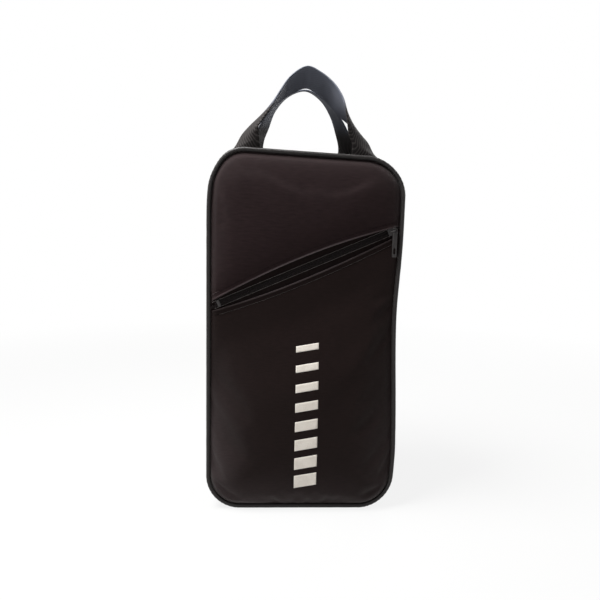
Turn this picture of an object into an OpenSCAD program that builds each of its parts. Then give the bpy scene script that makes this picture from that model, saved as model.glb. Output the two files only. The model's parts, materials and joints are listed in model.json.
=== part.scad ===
// Soft shoe bag: two crowned, piped panels joined by a gusset that a zip splits over the top and both sides.
// The front bends open along a crease at the height of the zip's ends, so what crosses it is in two solids.
// A slanted zip closes a flat pocket on the front.
// Millimetres. +Z is up, the front panel faces -Y, and the origin is the middle of the base.

/* [Bag] */
// Width over the piping
bag_w = 188; // [170:1:220]
// Height over the piping, without the handles
bag_h = 355; // [340:1:400]
// Depth from the front seam to the rear seam
bag_d = 100; // [80:1:130]
// Radius of the two top corners
corner_r_top = 38; // [30:1:50]
// Radius of the two bottom corners
corner_r_bottom = 34; // [28:1:44]
// Thickness of the gusset cloth with its lining
gusset_t = 1.6; // [1.2:0.1:2.4]
// Thickness of the panel cloth with its lining
panel_t = 1.4; // [1:0.1:1.8]
// How far a filled bag swells the middle of each panel
crown = 10; // [4:1:12]
// Diameter of the piping round each panel
piping_d = 4.4; // [3.6:0.1:5]
// How far the gusset sits inside the outer edge of the piping
gusset_inset = 1.4; // [1:0.1:1.8]

/* [Main zip] */
// Height at which the zip starts on each side
zip_start = 45; // [40:1:80]
// Half of the cloth opening that the zip lies in
zip_slit = 7; // [6:0.5:10]
// Reach of each tape from the middle of the zip
main_tape_reach = 13; // [11:0.5:16]
// Height of the slider when the bag is closed
main_slider_z = 66; // [62:1:120]

/* [Pocket zip] */
// Middle of the slanted zip, sideways
pocket_zip_x = -1; // [-6:1:6]
// Middle of the slanted zip, above the base
pocket_zip_z = 243.5; // [220:0.5:260]
// Slope of the zip
pocket_zip_angle = 23.5; // [15:0.5:30]
// Gap from the middle of the zip to the cloth edge, at the ends
gape_end = 3.4; // [3.3:0.1:5]
// How much further the cloth edges bow apart half way
gape_bow = 6; // [0:0.5:9]
// Depth of the empty pocket
pocket_depth = 5; // [4.5:0.1:8]
// Distance of the closed slider from the middle of the zip
pocket_slider_s = 94; // [80:1:94]

/* [Zip hardware] */
// Half of the gap between the two rows of teeth
tooth_gap = 0.7; // [0.6:0.05:0.8]
// Reach of the teeth from the middle of the zip
tooth_reach = 2.9; // [2.6:0.1:3.1]
// Width of a pull tab
pull_w = 4.5; // [4.2:0.1:6]
// Length of a pull tab
pull_l = 28; // [20:1:36]

/* [Handles] */
// Width of the webbing
webbing_w = 31; // [25:1:34]
// Thickness of the webbing
webbing_t = 1.6; // [1.2:0.1:2]
// How far the front handle leans back, in degrees
front_lean = 22; // [18:1:23]
// How far the rear handle leans forward, in degrees
rear_lean = 20; // [16:1:22]
// Tilt of the front webbing at the crown of its arch
front_tilt = 25; // [15:1:35]
// Tilt of the rear webbing at the crown of its arch
rear_tilt = 20; // [10:1:30]

/* [Printed bars] */
// Number of slanted bars down the pocket
bar_count = 8; // [4:1:9]
// Width of a bar
bar_w = 22; // [15:1:30]
// Height of the largest bar
bar_h = 13; // [8:1:16]
// Sideways middle of the column of bars
bar_x = 5; // [-20:1:20]
// Height of the middle of the lowest bar
bar_z = 34; // [30:1:40]

/* [Hidden] */

// Colours of the cloth, the zip tape, the metal and the print
cloth = "#2b2a29";
pocket_cloth = "#242323";
piping_cloth = "#33322f";
tape_cloth = "#1c1c1d";
tooth_plastic = "#3a3a3c";
gunmetal = "#3c3b3a";
webbing = "#333335";
print_cream = "#d8d0c6";

// Small clearances: between layers of cloth, between sewn pieces, and round moving ones
layer_gap = 0.1;
sewn_gap = 0.2;
moving_gap = 0.4;
// Segments of a quarter circle in the outlines
arc_steps = 14;
// Larger than the bag in every direction
beyond = 600;

seam_y = bag_d / 2;
piping_r = piping_d / 2;
panel_inset = piping_d + sewn_gap;
gusset_edge = seam_y - piping_r - sewn_gap;
gusset_inner = gusset_inset + gusset_t;

// Layers of a zip, measured outwards from the face of the tape that carries the teeth
tape_t = 0.6;
tooth_t = 1.4;
plate_t = 1;
slider_l = 9;
slider_w = 8;
inner_plate_l = 5;
inner_plate_w = 6;
inner_plate_t = 0.8;
fin_l = 3;
foot_reach = 2.3;
foot_w = 1.2;
bridge_w = 1.2;
bridge_t = 1;
// Play of a slider: over the teeth, behind the tape, beside its fin and under its bridge
teeth_play = 0.5;
tape_play = 0.3;
fin_play = 0.3;
bridge_play = 0.8;
// How far the fin reaches into each plate
fin_bite = 0.1;
outer_plate_y = -tooth_t - teeth_play;
pull_t = 1;
pull_y = outer_plate_y - plate_t - moving_gap;
bridge_y = pull_y - pull_t - bridge_play;
// Window in the head of a pull tab, and the slot near its foot
pull_window_w = 3.2;
pull_window_h = 4;
pull_head = 0.8;
pull_slot_w = 2;
pull_slot_l = 6;
pull_slot_rise = 3;
pull_bevel = 1;

// Seam binding inside the bag, and the depth that it covers
binding_t = 2;
binding_w = 6;
main_tape_inset = gusset_inner + layer_gap;

// Depths of the layers on the front: the panel and the zip tape lie just outside the seam
panel_proud = 0.8;
tape_proud = 0.6;
panel_back = seam_y + panel_proud;
panel_face = panel_back + panel_t;
pocket_tape_y = -(seam_y + tape_proud);
pocket_tape_reach = 13;
lining_t = 0.8;
lining_y = pocket_depth - panel_back;
print_t = 0.15;
print_gap = 0.2;

// Swelling of a panel: none in a margin inside the outline, then most of it over a short reach
swell_margin = 8;
swell_reach = 34;
// Share of the swelling that is missing at the edge above the slanted zip, and the reach that it takes
lip_drop = 0.8;
lip_reach = 16;
// The pocket stays flat where the pull tab swings and at the crease, and swells over these distances
tab_room = 28;
belly_reach = 82;
crease_reach = 50;
// Steps of the points on a panel: round each corner, across the middle and up the panel
corner_steps = 6;
middle_steps = 8;
panel_rows = 20;
base_rows = 3;

// The handles turn on a line just above the piping, behind it
handle_behind = 1.3;
handle_rise = 3;
handle_y = seam_y - piping_r - handle_behind;
handle_z = bag_h + handle_rise;
// The sewn ends run from this far below the turning line to just under it
handle_tail = 20;
handle_end_gap = 2;
// Stations of the front handle from left to right: x, height above the turning line, turn of the webbing
front_route = [
    [-58, 0, 10], [-57, 8, 40], [-53, 18, 58], [-44, 31, 69], [-31, 48, 78], [-17, 64, 84], [0, 75, 88],
    [13, 70, 85], [25, 60, 83], [33, 49, 87], [38, 39, 98], [43, 29, 114], [48, 18, 132], [52, 8, 151],
    [57, 0, 172]
];
// Stations of the rear handle from left to right
rear_route = [
    [-58, 0, 8], [-56, 8, 46], [-52, 20, 66], [-46, 33, 74], [-34, 51, 80], [-18, 66, 86], [2, 73, 90],
    [20, 65, 94], [33, 50, 100], [42, 33, 107], [48, 19, 116], [51, 8, 135], [53, 0, 172]
];
route_steps = 4;

// Heights of the cut edges at the crease, on the base and on the part that opens
crease_low = zip_start - sewn_gap;
crease_high = zip_start + sewn_gap;

// Points of a quarter circle
function quarter(x, z, r, start) = [
    for (i = [0 : arc_steps])
        let (angle = start + 90 * i / arc_steps)
        [x + r * cos(angle), z + r * sin(angle)]
];

// Outline of the bag seen from the front, drawn in by inset, with its lower edge at the height sole
function outline(inset, sole) =
    let (
        half = bag_w / 2 - inset,
        top = bag_h - inset,
        rt = corner_r_top - inset,
        rb = corner_r_bottom - inset
    )
    concat(quarter(half - rb, sole + rb, rb, -90), quarter(half - rt, top - rt, rt, 0),
        quarter(rt - half, top - rt, rt, 90), quarter(rb - half, sole + rb, rb, 180));

// A flat shape in x and z, given thickness from y0 to y1
module slab(y0, y1) {
    translate([0, y1, 0]) rotate([90, 0, 0]) linear_extrude(y1 - y0) children();
}

// Closed band of cloth that follows the outline between two insets
module band(outer, inner, outer_sole, inner_sole) {
    difference() {
        polygon(outline(outer, outer_sole));
        polygon(outline(inner, inner_sole));
    }
}

// Part of a flat shape above or below a height
module above(z) {
    intersection() {
        children();
        translate([-beyond / 2, z]) square(beyond);
    }
}

module below(z) {
    intersection() {
        children();
        translate([-beyond / 2, z - beyond]) square(beyond);
    }
}

// Solids above or below the crease
module opening_part() {
    intersection() {
        children();
        translate([-beyond / 2, -beyond / 2, crease_high]) cube(beyond);
    }
}

module base_part() {
    intersection() {
        children();
        translate([-beyond / 2, -beyond / 2, crease_low - beyond]) cube(beyond);
    }
}

// Piping cord in its cover: four straight runs and four round corners in one ring
module piping_ring(y) {
    half = bag_w / 2 - piping_r;
    top = bag_h - piping_r;
    rt = corner_r_top - piping_r;
    rb = corner_r_bottom - piping_r;
    translate([0, y, 0]) {
        for (side = [-1, 1]) {
            translate([side * half, 0, piping_r + rb]) cylinder(d = piping_d, h = top - rt - piping_r - rb);
            translate([side * (half - rt), 0, top - rt]) rotate([90, side > 0 ? 0 : 270, 0]) bend(rt);
            translate([side * (half - rb), 0, piping_r + rb]) rotate([90, side > 0 ? 90 : 180, 0]) bend(rb);
        }
        translate([-(half - rt), 0, top]) rotate([0, 90, 0]) cylinder(d = piping_d, h = 2 * (half - rt));
        translate([-(half - rb), 0, piping_r]) rotate([0, 90, 0])
            cylinder(d = piping_d, h = 2 * (half - rb));
    }
}

module bend(r) {
    rotate_extrude(angle = 90) translate([r, 0]) circle(d = piping_d);
}

// How far a place on a panel lies inside the bag's outline
function depth_in(x, z) = let (
    r = z > bag_h / 2 ? corner_r_top : corner_r_bottom,
    over_x = abs(x) - bag_w / 2 + r,
    over_z = abs(z - bag_h / 2) - bag_h / 2 + r)
    r - norm([max(over_x, 0), max(over_z, 0)]) - min(max(over_x, over_z), 0);

// How far the filled bag pushes a panel out there
swell = function(x, z) crown * (1 - exp(-max(0, depth_in(x, z) - swell_margin) / swell_reach));

// 0 before start and 1 after end, with a smooth way between them
function ease(value, start, end) =
    let (t = max(0, min(1, (value - start) / (end - start))))
    t * t * (3 - 2 * t);

// Columns of points across a panel, closer together in its corners, and their ends at its outline
panel_half = bag_w / 2 - panel_inset;
panel_bend = corner_r_top - panel_inset;
panel_straight = panel_half - panel_bend;
panel_turns = [for (i = [1 : corner_steps]) panel_straight + panel_bend * sin(90 * i / corner_steps)];
panel_columns = concat(
    [for (i = [corner_steps - 1 : -1 : 0]) -panel_turns[i]],
    [for (i = [0 : middle_steps]) panel_straight * (2 * i / middle_steps - 1)],
    panel_turns);
function corner_drop(x, r) =
    let (over = max(0, abs(x) - panel_half + r))
    r - sqrt(max(0, r * r - over * over));
panel_foot = function(x) panel_inset + corner_drop(x, corner_r_bottom - panel_inset);
panel_head = function(x) bag_h - panel_inset - corner_drop(x, corner_r_top - panel_inset);

// Swollen sheet between two heights at each column. It starts at the depth back, and side -1 is the front.
module swollen(side, columns, rows, foot, head, swelling, back, thick) {
    m = rows + 1;
    n = len(columns) * m;
    inner = [for (x = columns, j = [0 : rows])
        let (z = foot(x) + (head(x) - foot(x)) * j / rows)
        [x, side * (back + swelling(x, z)), z]];
    outer = [for (p = inner) p + [0, side * thick, 0]];
    quads = concat(
        [for (i = [0 : len(columns) - 2], j = [0 : rows - 1]) let (a = i * m + j, b = a + m)
            each [[n + a, n + a + 1, n + b + 1, n + b], [a, b, b + 1, a + 1]]],
        [for (i = [0 : len(columns) - 2]) let (a = i * m, b = a + m)
            each [[n + a, n + b, b, a], [a + rows, b + rows, n + b + rows, n + a + rows]]],
        [for (j = [0 : rows - 1]) let (a = n - m + j)
            each [[j + 1, n + j + 1, n + j, j], [a, n + a, n + a + 1, a + 1]]]);
    faces = [for (q = quads) each [[q[0], q[1], q[2]], [q[0], q[2], q[3]]]];
    polyhedron(concat(inner, outer), side < 0 ? faces : [for (f = faces) [f[2], f[1], f[0]]]);
}

// Panels and gussets

module back_panel() {
    color(cloth) swollen(1, panel_columns, panel_rows, panel_foot, panel_head, swell, panel_back, panel_t);
}

module gusset_band() {
    band(gusset_inset, gusset_inner, 0, gusset_t);
}

module rear_gusset() {
    color(cloth) slab(zip_slit, gusset_edge) above(crease_high) gusset_band();
}

module front_gusset() {
    color(cloth) slab(-gusset_edge, -zip_slit) above(crease_high) gusset_band();
}

module bottom_gusset() {
    color(cloth) slab(-gusset_edge, gusset_edge) below(crease_low) gusset_band();
}

module rear_piping() {
    color(piping_cloth) piping_ring(seam_y);
}

module front_piping() {
    color(piping_cloth) opening_part() piping_ring(-seam_y);
}

module front_piping_base() {
    color(piping_cloth) base_part() piping_ring(-seam_y);
}

module binding_band() {
    inset = gusset_inner + sewn_gap;
    band(inset, inset + binding_t, inset, inset + binding_t);
}

module rear_seam_binding() {
    color(tape_cloth) slab(gusset_edge - binding_w, gusset_edge) binding_band();
}

module front_seam_binding() {
    color(tape_cloth) slab(-gusset_edge, binding_w - gusset_edge) above(crease_high) binding_band();
}

module front_binding_base() {
    color(tape_cloth) slab(-gusset_edge, binding_w - gusset_edge) below(crease_low) binding_band();
}

// Slanted zip: shapes in s along the zip and v across it, turned into x and z

module along_zip() {
    translate([pocket_zip_x, pocket_zip_z]) rotate(pocket_zip_angle) children();
}

zip_half = bag_w / 2 / cos(pocket_zip_angle);
function gape(s) = gape_end + gape_bow * max(0, 1 - pow(s / zip_half, 2));

// Place along the slanted zip and above it, and distance of a place from the cloth edge on its side
function zip_s(x, z) =
    (x - pocket_zip_x) * cos(pocket_zip_angle) + (z - pocket_zip_z) * sin(pocket_zip_angle);
function zip_v(x, z) =
    (z - pocket_zip_z) * cos(pocket_zip_angle) - (x - pocket_zip_x) * sin(pocket_zip_angle);
function from_gape(x, z) = abs(zip_v(x, z)) - gape(zip_s(x, z));

// Height of the cloth edge at a sideways place: side 1 is above the zip, side -1 is below it
gape_tries = 5;
function gape_z(x, side, z, tries) = tries == 0 ? z
    : gape_z(x, side, z + (side * gape(zip_s(x, z)) - zip_v(x, z)) / cos(pocket_zip_angle), tries - 1);
function gape_height(x, side) =
    gape_z(x, side, pocket_zip_z + (x - pocket_zip_x) * tan(pocket_zip_angle), gape_tries);

upper_swell = function(x, z) swell(x, z) * (1 - lip_drop * exp(-max(0, from_gape(x, z)) / lip_reach));
pocket_swell = function(x, z) swell(x, z) * ease(from_gape(x, z), tab_room, tab_room + belly_reach)
    * ease(z, crease_high, crease_high + crease_reach);
above_zip = function(x) gape_height(x, 1);
below_zip = function(x) gape_height(x, -1);
at_crease_high = function(x) crease_high;
at_crease_low = function(x) crease_low;

module front_panel_upper() {
    color(cloth) swollen(-1, panel_columns, panel_rows, above_zip, panel_head, upper_swell,
        panel_back, panel_t);
}

module pocket_panel() {
    color(pocket_cloth) swollen(-1, panel_columns, panel_rows, at_crease_high, below_zip, pocket_swell,
        panel_back, panel_t);
}

module pocket_panel_base() {
    color(pocket_cloth) swollen(-1, panel_columns, base_rows, panel_foot, at_crease_low, pocket_swell,
        panel_back, panel_t);
}

module lining_cloth() {
    inset = gusset_inner + 2 * sewn_gap + binding_t;
    polygon(outline(inset, inset));
}

module pocket_lining() {
    color(tape_cloth) slab(lining_y, lining_y + lining_t) above(crease_high) lining_cloth();
}

module pocket_lining_base() {
    color(tape_cloth) slab(lining_y, lining_y + lining_t) below(crease_low) lining_cloth();
}

module pocket_strip(v0, v1, inset, y0, y1) {
    slab(y0, y1) intersection() {
        polygon(outline(inset, inset));
        along_zip() translate([-beyond / 2, min(v0, v1)]) square([beyond, abs(v1 - v0)]);
    }
}

module pocket_tape(side) {
    pocket_strip(side * tooth_gap, side * pocket_tape_reach, panel_inset + sewn_gap, pocket_tape_y,
        pocket_tape_y + tape_t);
}

module pocket_teeth(side) {
    pocket_strip(side * tooth_gap, side * tooth_reach, panel_inset + 2 * sewn_gap, pocket_tape_y - tooth_t,
        pocket_tape_y);
}

module pocket_zip_tape_upper() {
    color(tape_cloth) pocket_tape(1);
}

module pocket_zip_tape_lower() {
    color(tape_cloth) pocket_tape(-1);
}

module pocket_zip_teeth_upper() {
    color(tooth_plastic) pocket_teeth(1);
}

module pocket_zip_teeth_lower() {
    color(tooth_plastic) pocket_teeth(-1);
}

// A clip over both rows of teeth ends the slider's way at the lower left
stop_s = -88;
stop_l = 3;
stop_t = 0.5;

module pocket_zip_stop() {
    y = pocket_tape_y - tooth_t;
    color(gunmetal) slab(y - stop_t, y) along_zip()
        translate([stop_s - stop_l / 2, -tooth_reach]) square([stop_l, 2 * tooth_reach]);
}

// Main zip round the gusset: the metal stops take the first few millimetres above the ends of the tapes
stop_foot = 1.5;
stop_head = 5;

module main_tape(y0, y1) {
    slab(y0, y1) above(crease_high) band(main_tape_inset, main_tape_inset + tape_t, 0, tape_t);
}

module main_teeth(y0, y1) {
    slab(y0, y1) above(zip_start + stop_head) band(main_tape_inset - tooth_t, main_tape_inset, 0, tooth_t);
}

module main_zip_tape_rear() {
    color(tape_cloth) main_tape(tooth_gap, main_tape_reach);
}

module main_zip_tape_front() {
    color(tape_cloth) main_tape(-main_tape_reach, -tooth_gap);
}

module main_zip_teeth_rear() {
    color(tooth_plastic) main_teeth(tooth_gap, tooth_reach);
}

module main_zip_teeth_front() {
    color(tooth_plastic) main_teeth(-tooth_reach, -tooth_gap);
}

// Metal stops below the last teeth, one on each side of the bag, carried by the rear tape
module main_zip_stops() {
    color(gunmetal) slab(tooth_gap, tooth_reach)
        below(zip_start + stop_head - sewn_gap) above(zip_start + stop_foot)
        band(main_tape_inset - tooth_t, main_tape_inset, 0, tooth_t);
}

// Cloth tabs sewn over the ends of the zip on the bottom gusset
zip_tab_w = 26;
zip_tab_h = 12;
zip_tab_t = 1;

module zip_end_tabs() {
    color(cloth) slab(-zip_tab_w / 2, zip_tab_w / 2) below(crease_low) above(zip_start - zip_tab_h)
        band(gusset_inset - zip_tab_t, gusset_inset, 0, 0);
}

// Slider: two plates joined by a fin between the rows of teeth, with a bridge that holds the pull tab.
// Its zip runs along X and its outer face looks to -Y.

module slider() {
    fin_t = 2 * (tooth_gap - fin_play);
    fin_h = tape_t + tape_play + 2 * fin_bite - outer_plate_y;
    foot_h = outer_plate_y - plate_t / 2 - (bridge_y - bridge_t);
    translate([-slider_l / 2, outer_plate_y - plate_t, -slider_w / 2])
        cube([slider_l, plate_t, slider_w]);
    translate([-inner_plate_l / 2, tape_t + tape_play, -inner_plate_w / 2])
        cube([inner_plate_l, inner_plate_t, inner_plate_w]);
    translate([-fin_l / 2, outer_plate_y - fin_bite, -fin_t / 2])
        cube([fin_l, fin_h, fin_t]);
    for (end = [-1, 1])
        translate([end * foot_reach - foot_w / 2, bridge_y - bridge_t, -bridge_w / 2])
            cube([foot_w, foot_h, bridge_w]);
    translate([-foot_reach - foot_w / 2, bridge_y - bridge_t, -bridge_w / 2])
        cube([2 * foot_reach + foot_w, bridge_t, bridge_w]);
}

// Pull tab that hangs down from a bridge foot at the origin, with its crossbar at the height head_z
module pull(head_z) {
    half = pull_w / 2;
    top = head_z + pull_head;
    foot = top - pull_l;
    slab(pull_y - pull_t, pull_y) difference() {
        polygon([[-half, top], [half, top], [half, foot + pull_bevel], [half - pull_bevel, foot],
            [pull_bevel - half, foot], [-half, foot + pull_bevel]]);
        translate([-pull_window_w / 2, head_z - pull_window_h]) square([pull_window_w, pull_window_h]);
        translate([-pull_slot_w / 2, foot + pull_slot_rise]) square([pull_slot_w, pull_slot_l]);
    }
}

module at_pocket_slider() {
    translate([pocket_zip_x + pocket_slider_s * cos(pocket_zip_angle), pocket_tape_y,
        pocket_zip_z + pocket_slider_s * sin(pocket_zip_angle)]) children();
}

module pocket_slider() {
    color(gunmetal) at_pocket_slider() rotate([0, -pocket_zip_angle, 0]) slider();
}

// The pocket's tab hangs straight down from the upper foot of the slanted bridge
pocket_pull_head = 1.2;

module pocket_pull() {
    color(gunmetal) at_pocket_slider()
        translate([foot_reach * cos(pocket_zip_angle), 0, foot_reach * sin(pocket_zip_angle)])
        pull(pocket_pull_head);
}

// The main slider stands on the left side, and its zip runs up the side
module at_main_slider() {
    translate([main_tape_inset - bag_w / 2, 0, main_slider_z]) children();
}

module main_slider() {
    color(gunmetal) at_main_slider() rotate([90, 90, 0]) slider();
}

module main_pull() {
    color(gunmetal) at_main_slider() rotate([0, 0, -90])
        translate([0, 0, -foot_reach]) pull(foot_reach - pull_head / 2);
}

// Handles

function mix(a, b, c, d, t) = 0.5 * (2 * b + (c - a) * t + (2 * a - 5 * b + 4 * c - d) * t * t
    + (3 * b - a - 3 * c + d) * t * t * t);

// Smooth curve through the stations
function smooth(k) = let (n = len(k) - 1) concat(
    [for (i = [0 : n - 1], j = [0 : route_steps - 1])
        mix(i > 0 ? k[i - 1] : 2 * k[0] - k[1], k[i], k[i + 1],
            i < n - 1 ? k[i + 2] : 2 * k[n] - k[n - 1], j / route_steps)],
    [k[n]]);

function unit(v) = v / norm(v);

// Rings of four corners along a strap. Side -1 is the front handle and leans to +Y, side 1 is the rear one.
function strap_rings(route, side, lean, tilt) = let (
    k = smooth(route),
    n = len(k) - 1,
    centre = [for (p = k) [p[0], side * (handle_y - p[1] * tan(lean)), handle_z + p[1]]],
    across = [for (p = k) [cos(p[2]), side * sin(p[2]) * cos(tilt), sin(p[2]) * sin(tilt)]])
    [for (i = [0 : n]) let (
        run = unit(centre[min(i + 1, n)] - centre[max(i - 1, 0)]),
        w = across[i] * webbing_w / 2,
        t = unit(cross(run, across[i])) * webbing_t / 2)
        [centre[i] - w - t, centre[i] + w - t, centre[i] + w + t, centre[i] - w + t]];

module strap(route, side, lean, tilt) {
    rings = strap_rings(route, side, lean, tilt);
    n = len(rings);
    sides = [for (i = [0 : n - 2], j = [0 : 3]) let (a = 4 * i + j, b = 4 * i + (j + 1) % 4)
        each [[a, b, b + 4], [a, b + 4, a + 4]]];
    ends = [[0, 2, 1], [0, 3, 2], [4 * n - 4, 4 * n - 3, 4 * n - 2], [4 * n - 4, 4 * n - 2, 4 * n - 1]];
    polyhedron([for (r = rings) each r], [for (f = concat(sides, ends)) [f[0], f[2], f[1]]]);
}

// Ends of a handle that are sewn into the seam, up to the line where it bends
module strap_ends(route, side) {
    first = route[0][0];
    last = route[len(route) - 1][0];
    slab(side * handle_y - webbing_t / 2, side * handle_y + webbing_t / 2) difference() {
        for (x = [first, last]) translate([x - webbing_w / 2, handle_z - handle_tail])
            square([webbing_w, handle_tail - handle_end_gap]);
        polygon(outline(gusset_inset - sewn_gap, 0));
    }
}

module front_handle() {
    color(webbing) strap(front_route, -1, front_lean, front_tilt);
}

module rear_handle() {
    color(webbing) strap(rear_route, 1, rear_lean, rear_tilt);
}

module front_handle_ends() {
    color(webbing) strap_ends(front_route, -1);
}

module rear_handle_ends() {
    color(webbing) strap_ends(rear_route, 1);
}

// Column of slanted bars printed on the pocket, larger towards the base. The lowest lies below the crease.
bar_pitch = 19;
bar_slant = 4;
bar_shrink = 1;
bar_rows = 2;
bar_columns = [bar_x - bar_w / 2, bar_x, bar_x + bar_w / 2];

module bar(i) {
    half = (bar_h - i * bar_shrink) / 2;
    lowest = i > 0 ? crease_high : 0;
    middle = function(x) bar_z + i * bar_pitch + bar_slant * (x - bar_x) / bar_w;
    foot = function(x) max(lowest, middle(x) - half);
    head = function(x) middle(x) + half;
    swollen(-1, bar_columns, bar_rows, foot, head, pocket_swell, panel_face + print_gap, print_t);
}

module printed_bars() {
    color(print_cream) for (i = [1 : bar_count - 1]) bar(i);
}

module printed_bars_base() {
    color(print_cream) bar(0);
}

back_panel();
rear_gusset();
bottom_gusset();
rear_piping();
rear_seam_binding();
main_zip_tape_rear();
main_zip_teeth_rear();
main_zip_stops();
zip_end_tabs();
rear_handle_ends();
front_panel_upper();
pocket_panel();
pocket_lining();
front_gusset();
front_piping();
front_seam_binding();
main_zip_tape_front();
main_zip_teeth_front();
pocket_zip_tape_upper();
pocket_zip_tape_lower();
pocket_zip_teeth_upper();
pocket_zip_teeth_lower();
pocket_zip_stop();
printed_bars();
front_handle_ends();
front_handle();
rear_handle();
pocket_slider();
pocket_pull();
main_slider();
main_pull();
front_piping_base();
pocket_panel_base();
pocket_lining_base();
front_binding_base();
printed_bars_base();
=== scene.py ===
import json
import math

import bmesh
import bpy
import numpy as np
from mathutils import Matrix, Vector, noise
from mathutils.bvhtree import BVHTree


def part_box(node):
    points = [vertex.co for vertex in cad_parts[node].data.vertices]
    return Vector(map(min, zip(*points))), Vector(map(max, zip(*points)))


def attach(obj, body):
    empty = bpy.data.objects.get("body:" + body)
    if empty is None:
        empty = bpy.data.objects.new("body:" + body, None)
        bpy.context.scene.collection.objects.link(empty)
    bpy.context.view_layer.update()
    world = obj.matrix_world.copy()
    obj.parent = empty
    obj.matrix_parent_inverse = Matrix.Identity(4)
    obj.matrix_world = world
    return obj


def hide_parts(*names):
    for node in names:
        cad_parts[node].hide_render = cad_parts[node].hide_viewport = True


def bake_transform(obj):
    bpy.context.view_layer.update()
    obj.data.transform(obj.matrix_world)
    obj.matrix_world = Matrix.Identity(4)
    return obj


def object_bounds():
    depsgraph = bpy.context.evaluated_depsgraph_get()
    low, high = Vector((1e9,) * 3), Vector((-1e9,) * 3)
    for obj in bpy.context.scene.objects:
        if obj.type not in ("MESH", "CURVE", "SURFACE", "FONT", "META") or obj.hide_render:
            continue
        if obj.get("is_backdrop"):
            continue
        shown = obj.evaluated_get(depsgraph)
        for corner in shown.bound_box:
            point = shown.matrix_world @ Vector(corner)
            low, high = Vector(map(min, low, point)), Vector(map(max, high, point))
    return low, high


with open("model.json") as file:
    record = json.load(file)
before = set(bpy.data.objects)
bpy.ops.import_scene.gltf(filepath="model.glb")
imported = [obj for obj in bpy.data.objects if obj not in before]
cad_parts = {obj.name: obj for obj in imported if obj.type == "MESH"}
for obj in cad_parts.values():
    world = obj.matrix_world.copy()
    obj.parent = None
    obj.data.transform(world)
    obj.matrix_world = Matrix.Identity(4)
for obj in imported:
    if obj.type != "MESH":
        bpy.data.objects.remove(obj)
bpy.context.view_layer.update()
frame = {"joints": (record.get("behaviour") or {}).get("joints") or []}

# Camera: it stands about half a metre in front of the bag and a little to its left, at the height of
# the slanted zip, and looks slightly down.
mm = 0.001
eye = Vector((-24.0, -550.0, 264.2)) * mm
yaw = math.radians(2.42)
pitch = math.radians(-5.87)
roll = math.radians(1.11)
focal_px = 514.2
frame_px = 600
sensor_mm = 36
ahead = Vector((math.sin(yaw) * math.cos(pitch), math.cos(yaw) * math.cos(pitch), math.sin(pitch)))
level = Vector((math.cos(yaw), -math.sin(yaw), 0))
upright = level.cross(ahead)
right = math.cos(roll) * level + math.sin(roll) * upright
upward = math.cos(roll) * upright - math.sin(roll) * level
camera = bpy.data.objects.new("camera", bpy.data.cameras.new("camera"))
camera.data.sensor_width = sensor_mm
camera.data.lens = sensor_mm * focal_px / frame_px
camera.data.clip_start = 10 * mm
camera.matrix_world = Matrix.Translation(eye) @ Matrix((right, upward, -ahead)).transposed().to_4x4()
bpy.context.scene.collection.objects.link(camera)
bpy.context.scene.camera = camera
bpy.context.scene.view_settings.view_transform = "Standard"


# Studio: a pale painted floor under large soft lamps, with white all round for the eye and for
# reflections. The floor keeps the bag's shadow.
def linear(code):
    """Linear colour of an sRGB hex value."""
    parts = [int(code[i:i + 2], 16) / 255 for i in (0, 2, 4)]
    return [c / 12.92 if c <= 0.04045 else ((c + 0.055) / 1.055) ** 2.4 for c in parts] + [1]


def add(tree, kind, inputs=None, **settings):
    """A new node with its settings, and with each named input linked or set."""
    node = tree.nodes.new("ShaderNode" + kind)
    for name, value in settings.items():
        setattr(node, name, value)
    for name, value in (inputs or {}).items():
        if isinstance(value, bpy.types.NodeSocket):
            tree.links.new(value, node.inputs[name])
        else:
            node.inputs[name].default_value = value
    return node


def unpainted(name):
    """A new material, and its node tree with nothing in it yet."""
    material = bpy.data.materials.new(name)
    material.use_nodes = True
    material.node_tree.nodes.clear()
    return material, material.node_tree


fill_light = 0.03
floor_glow = 0.86
floor_fade = (0.25, 1.4)
floor_reach = 6.0
floor_drop = 0.3 * mm
aim = Vector((0, 0, 190)) * mm
lamps = {
    "key_lamp": ((-380, -180, 1050), 420, 22.0),
    "low_lamp": ((-230, -360, 20), 240, 0.5),
    "side_lamp": ((900, -120, 420), 600, 1.3),
    "back_lamp": ((480, 900, 700), 700, 6.0),
}
for name, (place, size, watts) in lamps.items():
    lamp = bpy.data.objects.new(name, bpy.data.lights.new(name, "AREA"))
    lamp.data.size = size * mm
    lamp.data.energy = watts
    lamp.location = Vector(place) * mm
    lamp.rotation_mode = "QUATERNION"
    lamp.rotation_quaternion = (aim - lamp.location).to_track_quat("-Z", "Y")
    bpy.context.scene.collection.objects.link(lamp)


def seen_directly(tree):
    """1 for what the eye sees straight, in a reflection or through glass, and 0 for light on the bag."""
    path = add(tree, "LightPath")
    both = add(tree, "Math", {0: path.outputs["Is Camera Ray"], 1: path.outputs["Is Glossy Ray"]},
               operation="MAXIMUM")
    return add(tree, "Math", {0: both.outputs[0], 1: path.outputs["Is Transmission Ray"]},
               operation="MAXIMUM").outputs[0]


world = bpy.data.worlds.new("studio")
world.use_nodes = True
world.node_tree.nodes.clear()
strength = add(world.node_tree, "Math", {0: seen_directly(world.node_tree), 1: 1 - fill_light, 2: fill_light},
               operation="MULTIPLY_ADD")
sky = add(world.node_tree, "Background", {"Color": linear("ffffff"), "Strength": strength.outputs[0]})
add(world.node_tree, "OutputWorld", {"Surface": sky.outputs[0]})
bpy.context.scene.world = world

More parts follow.
